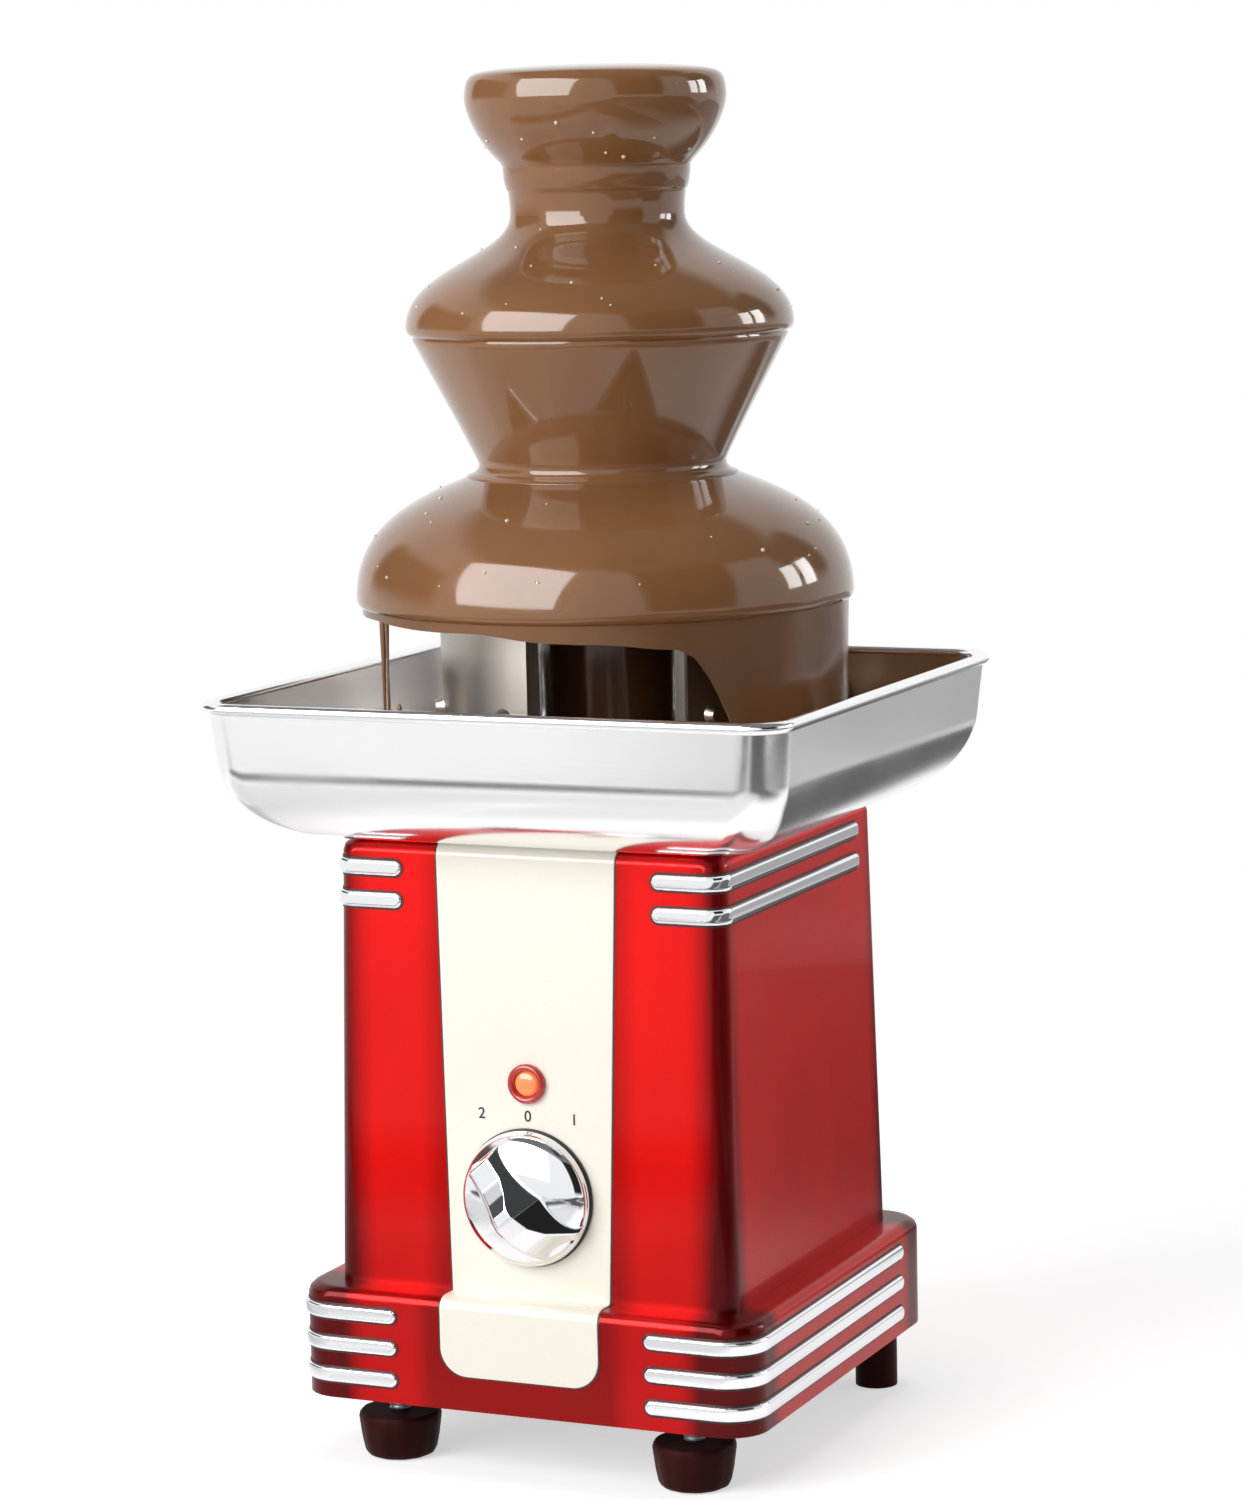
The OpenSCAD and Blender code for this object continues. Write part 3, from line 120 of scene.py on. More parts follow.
class Tree:
    """Node tree of a material or the world, with one method that makes any node."""

    def __init__(self, owner: Material | bpy.types.World) -> None:
        """Empties the owner's node tree.

        Args:
            owner: Material or world that the nodes are for.
        """
        owner.use_nodes = True
        self.owner = owner
        self.tree = owner.node_tree
        self.tree.nodes.clear()

    def add(self, kind: str, settings: dict | None = None, inputs: dict | None = None,
            output: int | str = 0) -> Wire:
        """Makes a node.

        Args:
            kind: Blender's node type.
            settings: Properties that are set first; "stops" fills a colour ramp.
            inputs: Values or wires by socket name or number.
            output: Socket that is returned.

        Returns:
            The node's chosen output, or nothing to link after an output node.
        """
        node = self.tree.nodes.new(kind)
        for key, value in (settings or {}).items():
            if key == "stops":
                ramp = node.color_ramp.elements
                while len(ramp) < len(value):
                    ramp.new(1.0)
                for element, (place, colour) in zip(ramp, value):
                    element.position = place
                    element.color = (*colour, 1.0)
            else:
                setattr(node, key, value)
        for key, value in (inputs or {}).items():
            if isinstance(value, Wire):
                self.tree.links.new(value.socket, node.inputs[key])
            else:
                node.inputs[key].default_value = value
        return Wire(self, node.outputs[output] if node.outputs else None)

    def place(self, stretch: Sequence[float] = (1, 1, 1)) -> Wire:
        """Object coordinates, stretched along X, Y and Z by a Mapping node."""
        coordinates = self.add("ShaderNodeTexCoord", output="Object")
        return self.add("ShaderNodeMapping",
                        inputs={"Vector": coordinates, "Scale": tuple(stretch)})

    def along(self, axis: str) -> Wire:
        """One Object coordinate, in metres."""
        return self.add("ShaderNodeSeparateXYZ", inputs={0: self.place()}, output=axis)

    def noise(self, scale: float, detail: float = 3.0,
              stretch: Sequence[float] = (1, 1, 1)) -> Wire:
        """Noise between about 0.25 and 0.75, with scale cells to the metre."""
        return self.add("ShaderNodeTexNoise", inputs={
            "Vector": self.place(stretch), "Scale": scale, "Detail": detail})

    def cells(self, scale: float) -> Wire:
        """Distance to the nearest random point, with scale cells to the metre."""
        return self.add("ShaderNodeTexVoronoi", inputs={"Vector": self.place(), "Scale": scale})

    def mix(self, factor: Wire | float, first: Sequence[float] | Wire,
            second: Sequence[float] | Wire) -> Wire:
        """Mixes two colours, each linear RGB or a wire."""
        a, b = (end if isinstance(end, Wire) else (*end, 1.0) for end in (first, second))
        return self.add("ShaderNodeMix", {"data_type": "RGBA"}, {0: factor, 6: a, 7: b}, 2)

    def bump(self, height: Wire, strength: float, distance: float) -> Wire:
        """Bump normal of a height from 0 to 1, which is distance metres."""
        return self.add("ShaderNodeBump", inputs={
            "Strength": strength, "Distance": distance, "Height": height})

    def show(self, surface: Wire) -> Material:
        """Links a shader to the material's output."""
        self.add("ShaderNodeOutputMaterial", inputs={"Surface": surface})
        return self.owner

    def close(self, sockets: dict) -> Material:
        """Shows a Principled shader with these values and wires."""
        return self.show(self.add("ShaderNodeBsdfPrincipled", inputs=sockets))


@dataclass(frozen=True)
class Finish:
    """Base of the finishes: a material that is made once, and its slot in the record."""

    name: str
    slot: str

    def material(self) -> Material:
        """Returns the material, building it the first time."""
        known = bpy.data.materials.get(self.name)
        return known or self.build(Tree(bpy.data.materials.new(self.name)))

    def build(self, tree: Tree) -> Material:
        """Builds the material; each finish has its own."""
        raise NotImplementedError


@dataclass(frozen=True)
class CandyPaint(Finish):
    """Clear-coated metallic paint with fine flakes."""

    colour: Triple = (0.74, 0.007, 0.004)
    deep: Triple = (0.58, 0.004, 0.006)
    # Colour of the painted shade, and below it the spans of its masks.
    edge: Triple = (0.10, 0.001, 0.0015)
    corner: Point = (0.0465, 0.0575)
    seam_x: Point = (0.034, 0.026)
    seam_y: Point = (-0.045, -0.055)
    foot: Point = (0.100, 0.052)
    ledge: Point = (0.049, 0.051)

    def build(self, tree: Tree) -> Material:
        """Flakes, slow drift, handling marks and painted shade: darker colour at the corners,
        along the panel seam, low on the body and on the plinth.

        Args:
            tree: Empty node tree of the material.

        Returns:
            The finished material.
        """
        flakes = tree.cells(2600).span(0.1, 0.6)
        drift = tree.noise(14, 2).span(0.35, 0.65)
        marks = tree.noise(60, 6, (1, 1, 0.25)).span(0.45, 0.75)
        x, y, z = (tree.along(axis) for axis in "XYZ")
        # Painted shade: masks for the vertical corners, the panel seam, the lower body and the
        # plinth.
        across, deep, above = abs(x), abs(y), z.span(*self.ledge)
        corner = across.span(*self.corner) * deep.span(*self.corner)
        seam = across.span(*self.seam_x) * y.span(*self.seam_y)
        low = z.span(*self.foot) * above
        painted_shade = corner * 0.95 + seam * 0.40 + low * 0.22 + (1 - above) * 0.3
        colour = tree.mix(drift * 0.4 + flakes * 0.3, self.colour, self.deep)
        return tree.close({
            "Base Color": tree.mix(painted_shade, colour, self.edge), "Metallic": 0.55,
            "Roughness": 0.30 + marks * 0.05 + flakes * 0.05,
            "Coat Weight": 0.22, "Coat Roughness": 0.04, "IOR": 1.5, "Specular IOR Level": 0.05,
            "Normal": tree.bump(flakes, 0.03, 0.00005)})


@dataclass(frozen=True)
class Moulded(Finish):
    """Moulded plastic or rubber with grain and soft marks."""

    colour: Triple
    shade: Triple
    roughness: float = 0.4
    grain: float = 0.15
    coat: float = 0.0
    rubbed: float = 0.12
    shine: float = 0.5

    def build(self, tree: Tree) -> Material:
        """Mottled colour, fine grain bump and rubbed patches.

        Args:
            tree: Empty node tree of the material.

        Returns:
            The finished material.
        """
        mottle = tree.noise(35, 4).span(0.35, 0.7)
        grain = tree.noise(1800, 2)
        rubbed = tree.noise(90, 5).span(0.5, 0.75)
        return tree.close({
            "Base Color": tree.mix(mottle, self.colour, self.shade),
            "Roughness": self.roughness + rubbed * self.rubbed + grain * 0.04,
            "Coat Weight": self.coat, "Coat Roughness": 0.06, "Specular IOR Level": self.shine,
            "Normal": tree.bump(grain, self.grain, 0.00006)})


@dataclass(frozen=True)
class Metal(Finish):
    """Bare or plated metal with brush lines, smudges and dull patches."""

    colour: Triple = (0.78, 0.79, 0.81)
    shade: Triple = (0.68, 0.69, 0.71)
    roughness: float = 0.16
    brush: float = 0.10
    stretch: Triple = (20, 20, 2200)

    def build(self, tree: Tree) -> Material:
        """Brush lines along the stretch, with smudges in the gloss.

        Args:
            tree: Empty node tree of the material.

        Returns:
            The finished material.
        """
        lines = tree.noise(1.0, 4, self.stretch)
        smudge = tree.noise(26, 5).span(0.4, 0.72)
        tone = tree.noise(9, 2).span(0.35, 0.65)
        return tree.close({
            "Base Color": tree.mix(tone * 0.6 + lines * 0.4, self.colour, self.shade),
            "Metallic": 1.0,
            "Roughness": self.roughness + lines * self.brush + smudge * 0.07,
            "Normal": tree.bump(lines, self.brush, 0.00004)})


@dataclass(frozen=True)
class MoltenChocolate(Finish):
    """Warm liquid chocolate: smooth, glossy, with slow swirls and pin bubbles."""

    colour: Triple = (0.266, 0.121, 0.049)
    dark: Triple = (0.222, 0.097, 0.036)
    roughness: float = 0.07
    coat: float = 0.35

    def build(self, tree: Tree) -> Material:
        """Swirled colour, wet gloss and tiny pits.

        Args:
            tree: Empty node tree of the material.

        Returns:
            The finished material.
        """
        swirl = tree.noise(30, 3, (1, 1, 0.35)).span(0.35, 0.68)
        pits = tree.cells(420).span(0.10, 0.0)
        wet = tree.noise(140, 3).span(0.4, 0.7)
        return tree.close({
            "Base Color": tree.mix(swirl * 0.7 + pits * 0.3, self.colour, self.dark),
            "Roughness": self.roughness + wet * 0.05, "IOR": 1.45, "Coat Weight": self.coat,
            "Coat Roughness": 0.02, "Subsurface Weight": 0.08,
            "Subsurface Radius": (0.6, 0.25, 0.12), "Subsurface Scale": 0.003,
            "Normal": tree.bump(pits, 0.25, 0.0002)})


@dataclass(frozen=True)
class LitLens(Finish):
    """Tinted lamp plastic with a glow inside."""

    colour: Triple
    glow: Triple
    strength: float

    def build(self, tree: Tree) -> Material:
        """Ribbed tint with a faint emission.

        Args:
            tree: Empty node tree of the material.

        Returns:
            The finished material.
        """
        ribs = tree.noise(900, 2)
        return tree.close({
            "Base Color": tree.mix(ribs, self.colour, self.glow), "Roughness": 0.12 + ribs * 0.06,
            "Coat Weight": 0.6, "Emission Color": tree.mix(ribs, self.glow, self.colour),
            "Emission Strength": self.strength, "Normal": tree.bump(ribs, 0.1, 0.0001)})


RED = CandyPaint("candy red paint", "red_shell")
CREAM = Moulded(
    "cream panel plastic", "cream_panel", (0.95, 0.92, 0.81), (0.945, 0.91, 0.795),
    roughness=0.26, grain=0.03, coat=0.3, rubbed=0.0)
INK = Moulded(
    "dark numeral ink", "black_plastic", (0.012, 0.012, 0.014), (0.03, 0.03, 0.032),
    roughness=0.5, grain=0.05)
CHROME = Metal(
    "mirror chrome", "chrome", (0.88, 0.89, 0.91), (0.80, 0.81, 0.84),
    roughness=0.03, brush=0.02, stretch=(200, 200, 200))
PAN_STEEL = Metal(
    "polished pan steel", "bowl_steel", (0.95, 0.95, 0.955), (0.90, 0.90, 0.91),
    roughness=0.11, brush=0.08)
DRUM_STEEL = Metal(
    "satin drum steel", "tower_steel", (0.53, 0.49, 0.45), (0.41, 0.37, 0.33),
    roughness=0.22, brush=0.18)
ZINC = Metal(
    "zinc plated steel", "zinc_steel", (0.66, 0.67, 0.70), (0.52, 0.53, 0.57),
    roughness=0.28, brush=0.1, stretch=(300, 300, 900))
BRASS = Metal(
    "turned brass", "brass", (0.72, 0.52, 0.22), (0.55, 0.38, 0.15),
    roughness=0.25, brush=0.1, stretch=(60, 60, 1500))
ALLOY = Metal(
    "cast heater alloy", "heater_alloy", (0.62, 0.62, 0.63), (0.48, 0.48, 0.5),
    roughness=0.42, brush=0.2, stretch=(300, 300, 300))
SHEATH = Metal(
    "oxidised heater sheath", "element_sheath", (0.22, 0.20, 0.19), (0.12, 0.11, 0.11),
    roughness=0.45, brush=0.2, stretch=(400, 400, 400))
IRON = Metal(
    "lacquered stator iron", "stator_iron", (0.20, 0.21, 0.23), (0.12, 0.12, 0.14),
    roughness=0.4, brush=0.3, stretch=(5, 5, 2600))
COIL = Metal(
    "enamelled coil wire", "coil_enamel", (0.42, 0.16, 0.06), (0.25, 0.09, 0.03),
    roughness=0.3, brush=0.3, stretch=(2600, 20, 20))
RUBBER = Moulded(
    "foot rubber", "rubber", (0.026, 0.005, 0.0045), (0.036, 0.008, 0.007),
    roughness=0.48, grain=0.2, rubbed=0.06, shine=0.06)
# Dark sheet that paints the shadow in the gaps round the panel and the bars.
SHADOW_GAP = Moulded(
    "dark plastic for painted shadow gaps", "red_shell", (0.022, 0.002, 0.002), (0.034, 0.004, 0.004),
    roughness=0.45, grain=0.1)
BLACK = Moulded(
    "black plastic", "black_plastic", (0.018, 0.018, 0.020), (0.03, 0.03, 0.032),
    roughness=0.42, grain=0.3)
WHITE = Moulded(
    "white gear plastic", "white_plastic", (0.78, 0.78, 0.74), (0.68, 0.68, 0.63),
    roughness=0.38, grain=0.1)
SEAL = Moulded(
    "grey silicone", "silicone", (0.10, 0.10, 0.10), (0.15, 0.145, 0.14),
    roughness=0.5, grain=0.2)
CHOCOLATE = MoltenChocolate("milk chocolate", "chocolate")
# Pale bubble colour: partly froth, partly a painted highlight on each bubble.
FROTH_AND_HIGHLIGHT = MoltenChocolate(
    "pale froth and painted highlight", "chocolate", (0.80, 0.70, 0.60), (0.66, 0.54, 0.43), roughness=0.05)
FILM = MoltenChocolate(
    "falling chocolate film", "chocolate", (0.215, 0.096, 0.036), (0.165, 0.068, 0.023),
    roughness=0.20, coat=0.05)
DARK_FILM = MoltenChocolate(
    "chocolate in shade", "chocolate", (0.13, 0.056, 0.022), (0.085, 0.035, 0.013),
    roughness=0.16, coat=0.1)
LAMP_RING = LitLens(
    "red lamp ring", "lamp_red", (0.42, 0.012, 0.010), (0.52, 0.025, 0.018), strength=0.04)
LAMP_GLASS = LitLens(
    "amber lamp window", "lamp_amber", (0.80, 0.20, 0.06), (0.95, 0.30, 0.10), strength=0.35)
BULB = LitLens("neon bulb", "bulb_glass", (0.9, 0.7, 0.5), (0.95, 0.5, 0.2), strength=0.4)


# Modelling

def bezier(a: Point, b: Point, c: Point, d: Point, steps: int) -> list[Point]:
    """Points on the cubic curve from a to d with handles b and c, both ends included."""
    weights = [(s ** 3, 3 * s * s * t, 3 * s * t * t, t ** 3)
               for t, s in ((k / steps, 1 - k / steps) for k in range(steps + 1))]
    return [tuple(sum(f * p[i] for f, p in zip(w, (a, b, c, d))) for i in (0, 1))
            for w in weights]


def ramp(x: float, stops: Sequence[Point]) -> float:
    """Straight-line table lookup.

    Args:
        x: Place to read.
        stops: Pairs of place and value, in order.

    Returns:
        The value at x.
    """
    if x <= stops[0][0]:
        return stops[0][1]
    for (x0, y0), (x1, y1) in zip(stops, stops[1:]):
        if x <= x1:
            return y0 + (y1 - y0) * (x - x0) / (x1 - x0)
    return stops[-1][1]


class Bench:
    """Modelling steps that every sub-assembly uses, done with Blender's operators."""

    @staticmethod
    def start(name: str, kind: Primitive, **sizes: object) -> Piece:
        """Adds a primitive with nothing else selected and its place in its mesh.

        Args:
            name: Name of the piece.
            kind: Starting shape.
            **sizes: The operator's own sizes, in metres.

        Returns:
            The new object.
        """
        bpy.ops.object.select_all(action="DESELECT")
        getattr(bpy.ops.mesh, kind.value)(**sizes)
        bpy.ops.object.transform_apply(location=True, rotation=False, scale=False)
        made = bpy.context.active_object
        made.name = name
        made.data.name = name
        return made

    @staticmethod
    def only(piece: Piece) -> None:
        """Makes one object the selected and active one.

        Args:
            piece: Object to select.
        """
        bpy.ops.object.select_all(action="DESELECT")
        piece.select_set(True)
        bpy.context.view_layer.objects.active = piece

    @staticmethod
    def edit(on: bool) -> None:
        """Enters or leaves edit mode."""
        bpy.ops.object.mode_set(mode="EDIT" if on else "OBJECT")

    @staticmethod
    def whole() -> None:
        """Selects the whole mesh in edit mode."""
        bpy.ops.mesh.select_all(action="SELECT")

    @staticmethod
    def weld(threshold: float) -> None:
        """Merges the points of the whole mesh that lie within a distance in metres."""
        Bench.whole()
        bpy.ops.mesh.remove_doubles(threshold=threshold)

    @staticmethod
    def face_out() -> None:
        """Turns all faces outwards."""
        Bench.whole()
        bpy.ops.mesh.normals_make_consistent(inside=False)

    @staticmethod
    def shift(piece: Piece, move: Callable[[Vector], Vector]) -> None:
        """Moves every point of a piece by a rule.

        Args:
            piece: Object in object mode.
            move: Gives the new place of a point, in metres.
        """
        for vertex in piece.data.vertices:
            vertex.co = move(vertex.co)
        piece.data.update()

    @classmethod
    def spun(cls, name: str, points: Sequence[Point], steps: int, closed: bool = False) -> Piece:
        """Turns a profile round the Z axis.

        Args:
            name: Name of the piece.
            points: Radius and height of each profile point, in millimetres.
            steps: Steps round the axis.
            closed: Joins the profile's last point to its first.

        Returns:
            The turned piece, with outward normals.
        """
        first = points[0]
        piece = cls.start(name, Primitive.PLANE, size=MM,
                          location=(first[0] * MM, 0, first[1] * MM))
        cls.edit(True)
        bpy.ops.mesh.select_mode(type="VERT")
        cls.whole()
        bpy.ops.mesh.merge(type="CENTER")
        for (r0, z0), (r1, z1) in zip(points, [*points[1:], first] if closed else points[1:]):
            bpy.ops.mesh.extrude_vertices_move(
                TRANSFORM_OT_translate={"value": ((r1 - r0) * MM, 0, (z1 - z0) * MM)})
        cls.weld(PROFILE_WELD)
        cls.whole()
        bpy.ops.mesh.spin(steps=steps, angle=2 * pi, center=(0, 0, 0), axis=(0, 0, 1))
        cls.weld(TURN_WELD)
        cls.face_out()
        cls.edit(False)
        return piece

    @classmethod
    def lofted(cls, name: str, rings: Sequence[Point], corner: float, segments: int) -> Piece:
        """Raises a rounded square through a list of half widths and heights.

        Args:
            name: Name of the piece.
            rings: Half width and height of each ring, in millimetres.
            corner: Corner radius of the first ring, kept by all the others.
            segments: Steps in each corner.

        Returns:
            A closed block between the first and the last ring.
        """
        half, z = rings[0]
        piece = cls.start(name, Primitive.PLANE, size=2 * half * MM, location=(0, 0, z * MM))
        cls.edit(True)
        cls.whole()
        bpy.ops.mesh.bevel(offset=corner * MM, segments=segments, affect="VERTICES",
                           offset_type="OFFSET")
        bpy.ops.mesh.select_mode(type="FACE")
        cls.whole()
        for (half0, z0), (half1, z1) in zip(rings, rings[1:]):
            bpy.ops.mesh.extrude_region_move(
                TRANSFORM_OT_translate={"value": (0, 0, (z1 - z0) * MM)})
            shape = bmesh.from_edit_mesh(piece.data)
            for vertex in shape.verts:
                if vertex.select:
                    vertex.co.x += (half1 - half0) * MM * copysign(1, vertex.co.x)
                    vertex.co.y += (half1 - half0) * MM * copysign(1, vertex.co.y)
            bmesh.update_edit_mesh(piece.data)
        cls.face_out()
        cls.edit(False)
        return piece

    @classmethod
    def modify(cls, piece: Piece, kind: str, **settings: object) -> None:
        """Adds a modifier and applies it.

        Args:
            piece: Object to change.
            kind: Modifier type.
            **settings: The modifier's properties.
        """
        cls.only(piece)
        modifier = piece.modifiers.new(kind.lower(), kind)
        for key, value in settings.items():
            setattr(modifier, key, value)
        bpy.ops.object.modifier_apply(modifier=modifier.name)

    @classmethod
    def smooth(cls, piece: Piece, angle: float, weighted: bool = False) -> Piece:
        """Shades a piece smooth below an angle.

        Args:
            piece: Object to shade.
            angle: Sharpest smooth edge, in degrees.
            weighted: Lets large faces hold the normals.

        Returns:
            The same object.
        """
        cls.only(piece)
        bpy.ops.object.shade_smooth_by_angle(angle=radians(angle), keep_sharp_edges=True)
        if weighted:
            cls.modify(piece, "WEIGHTED_NORMAL", keep_sharp=True, weight=80)
        return piece

    @classmethod
    def copy_of(cls, node: str, name: str, bevel: float = 0.0, angle: float = 32.0) -> Piece:
        """Copies a node's mesh, merges it and softens its edges.

        Args:
            node: Name of the frame's node.
            name: Name of the new piece.
            bevel: Width of the edge bevel in millimetres, or 0.
            angle: Sharpest smooth edge, in degrees.

        Returns:
            The new piece.
        """
        source = frame["nodes"][node]
        piece = bpy.data.objects.new(name, source.data.copy())
        piece.data.name = name
        piece.data.materials.clear()
        bpy.context.scene.collection.objects.link(piece)
        cls.only(piece)
        cls.edit(True)
        bpy.ops.mesh.customdata_custom_splitnormals_clear()
        cls.weld(COPY_WELD)
        cls.whole()
        bpy.ops.mesh.dissolve_limited(angle_limit=radians(FLAT_ANGLE))
        cls.edit(False)
        if bevel:
            cls.modify(piece, "BEVEL", width=bevel * MM, segments=2, limit_method="ANGLE",
                       angle_limit=radians(BEVEL_ANGLE), harden_normals=False)
        return cls.smooth(piece, angle, weighted=True)

    @staticmethod
    def settle(piece: Piece, body: Body, finish: Finish, *nodes: str) -> None:
        """Dresses a finished piece and hands it to the frame.

        Args:
            piece: Finished object, placed in the frame.
            body: Body that it rides on.
            finish: Its finish.
            *nodes: Nodes that it stands for.
        """
        Bench.only(piece)
        bpy.ops.object.transform_apply(location=True, rotation=True, scale=True)
        piece.data.materials.clear()
        piece.data.materials.append(finish.material())
        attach(piece, body.value)
        if nodes:
            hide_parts(*nodes)
        LOG.info("%s: %d faces on %s", piece.name, len(piece.data.polygons), body.value)


# Studio

@dataclass
class Studio:
    """Camera, floor, world, lamps and the cards that reflections see."""

    eye: Triple = (0.50959, -1.13421, 0.36678)
    aim: Triple = (0.00325, 0.00145, 0.19513)
    roll: float = -1.21
    lens: float = 105.97
    floor_size: float = 8.0
    floor_z: float = -0.0002
    floor_glow: float = 0.56
    floor_fade: Point = (0.20, 0.75)
    ambient: float = 0.23
    card_z: float = 0.001
    # Name, place, target, width and height, watts
    lamps: tuple[tuple, ...] = (
        ("key softbox", (-0.86, -1.62, 1.06), (0, 0, 0.28), (1.5, 1.6), 36),
        ("window pane", (1.58, 1.18, 0.70), (0, 0, 0.28), (0.7, 0.62), 5),
        ("overhead", (0.1, 0.3, 2.2), (0, 0, 0.2), (1.2, 1.2), 10))
    # Name, place, target, width and height, grey level, soft edge
    cards: tuple[tuple, ...] = (
        ("softbox face", (-0.70, -1.67, 1.05), (0, 0, 0.28), (1.9, 1.6), 9.0, 0.05),
        ("pane one", (1.45, 1.35, 0.70), (0, 0, 0.28), (0.34, 0.62), 10.0, 0.02),
        ("pane two", (1.72, 1.02, 0.70), (0, 0, 0.28), (0.34, 0.62), 10.0, 0.02),
        ("left flat", (-3.0, -0.2, 1.1), (0, 0, 1.1), (3.6, 2.2), 0.10, 0.6),
        ("right flat", (2.7, -1.3, 2.3), (0, 0, 1.4), (3.2, 4.8), 0.02, 0.4),
        ("top right", (0.92, -0.99, 2.12), (0, 0, 0.08), (0.8, 0.8), 0.06, 0.2),
        ("back flat", (2.25, 2.35, 1.8), (0, 0, 1.2), (2.6, 2.9), 0.2, 0.6),
        ("ceiling", (0.6, -0.2, 2.8), (0.6, -0.2, 0), (6.2, 5.4), 0.2, 0.8))
    # Name, degrees from the front to the right, near and far edge, width, grey level, soft edge
    floor_cards: tuple[tuple, ...] = (
        ("front right", 62, 0.24, 2.2, 1.5, 0.12, 0.2),
        ("back right", 160, 0.20, 0.94, 0.42, 0.13, 0.14),
        ("far back right", 156, 0.80, 2.6, 1.4, 0.45, 0.2),
        ("right", 100, 0.45, 3.0, 1.6, 0.16, 0.3),
        ("front near", -24, 0.11, 0.42, 0.8, 0.92, 0.08),
        ("left near", -82, 0.12, 0.38, 0.5, 0.62, 0.10),
        ("front middle", -10, 0.55, 1.0, 0.32, 0.66, 0.15),
        ("front", -24, 0.36, 0.62, 0.95, 0.10, 0.12))

    def build(self) -> None:
        """Sets the view and adds camera, floor, world, lamps and cards."""
        bpy.context.scene.view_settings.view_transform = "Standard"
        self.camera()
        self.floor()
        self.world()
        for name, place, at, *rest in self.lamps:
            self.lamp(name, self.aimed(place, at), *rest)
        for name, place, at, *rest in self.cards:
            self.card(name, self.aimed(place, at), *rest)
        for name, turn, near, far, width, *rest in self.floor_cards:
            lay = Matrix.Rotation(radians(turn), 4, "Z")
            place = lay @ Vector((0, -(near + far) / 2, self.card_z))
            self.card(name + " floor", Matrix.Translation(place) @ lay, (width, far - near), *rest)

    def camera(self) -> None:
        """Places the camera where the photograph was taken."""
        eye = Vector(self.eye)
        back = (eye - Vector(self.aim)).normalized()
        right = Vector((0, 0, 1)).cross(back).normalized()
        up = back.cross(right)
        c, s = cos(radians(self.roll)), sin(radians(self.roll))
        turn = Matrix((c * right + s * up, c * up - s * right, back)).transposed()
        data = bpy.data.cameras.new("camera")
        data.sensor_width = 36
        data.lens = self.lens
        data.clip_end = 50
        camera = bpy.data.objects.new("camera", data)
        camera.matrix_world = Matrix.Translation(eye) @ turn.to_4x4()
        bpy.context.scene.collection.objects.link(camera)
        bpy.context.scene.camera = camera

    def floor(self) -> None:
        """Adds the pale floor, which keeps the shadow and fades to white."""
        plane = Bench.start("floor", Primitive.PLANE, size=self.floor_size)
        plane.location.z = self.floor_z
        tree = Tree(bpy.data.materials.new("pale floor"))
        seen = self.seen(tree)
        cloud = tree.noise(3, 2)
        far = tree.add("ShaderNodeVectorMath", {"operation": "LENGTH"}, {0: tree.place()},
                       "Value")
        white = {"Color": (1, 1, 1, 1)}
        paper = tree.add("ShaderNodeBsdfDiffuse", inputs={
            "Color": tree.mix(cloud, (0.80, 0.80, 0.80), (0.78, 0.78, 0.78))})
        glow = tree.add("ShaderNodeEmission", inputs={**white, "Strength": seen * self.floor_glow})
        near = tree.add("ShaderNodeAddShader", inputs={0: paper, 1: glow})
        plain = tree.add("ShaderNodeEmission", inputs={**white, "Strength": 1.0})
        fade = seen * far.span(*self.floor_fade)
        both = tree.add("ShaderNodeMixShader", inputs={0: fade, 1: near, 2: plain})
        plane.data.materials.append(tree.show(both))

    @staticmethod
    def seen(tree: Tree) -> Wire:
        """1 on camera, glossy and transmission rays, and 0 on others."""
        rays = [tree.add("ShaderNodeLightPath", output=f"Is {kind} Ray")
                for kind in ("Camera", "Glossy", "Transmission")]
        return (rays[0] + rays[1] + rays[2]).span(0.0, 1.0)

    def world(self) -> None:
        """White to camera, gloss and glass; softer as light."""
        bpy.context.scene.world = bpy.data.worlds.new("white room")
        tree = Tree(bpy.context.scene.world)
        strength = self.ambient + self.seen(tree) * (1 - self.ambient)
        back = tree.add("ShaderNodeBackground", inputs={
            "Color": (1, 1, 1, 1), "Strength": strength})
        tree.add("ShaderNodeOutputWorld", inputs={"Surface": back})

    @staticmethod
    def aimed(place: Sequence[float], at: Sequence[float]) -> Matrix:
        """Matrix of an object at a place that looks along -Z at a point."""
        turn = (Vector(at) - Vector(place)).to_track_quat("-Z", "Y")
        return Matrix.Translation(place) @ turn.to_matrix().to_4x4()

    @staticmethod
    def lamp(name: str, matrix: Matrix, size: Point, power: float) -> None:
        """Adds a rectangular softbox that reflections don't see.

        Args:
            name: Name of the lamp.
            matrix: Its place and turn.
            size: Width and height, in metres.
            power: Watts.
        """
        data = bpy.data.lights.new(name, "AREA")
        data.shape = "RECTANGLE"
        data.size, data.size_y = size
        data.energy = power
        lamp = bpy.data.objects.new(name, data)
        lamp.matrix_world = matrix
        lamp.visible_glossy = False
        bpy.context.scene.collection.objects.link(lamp)

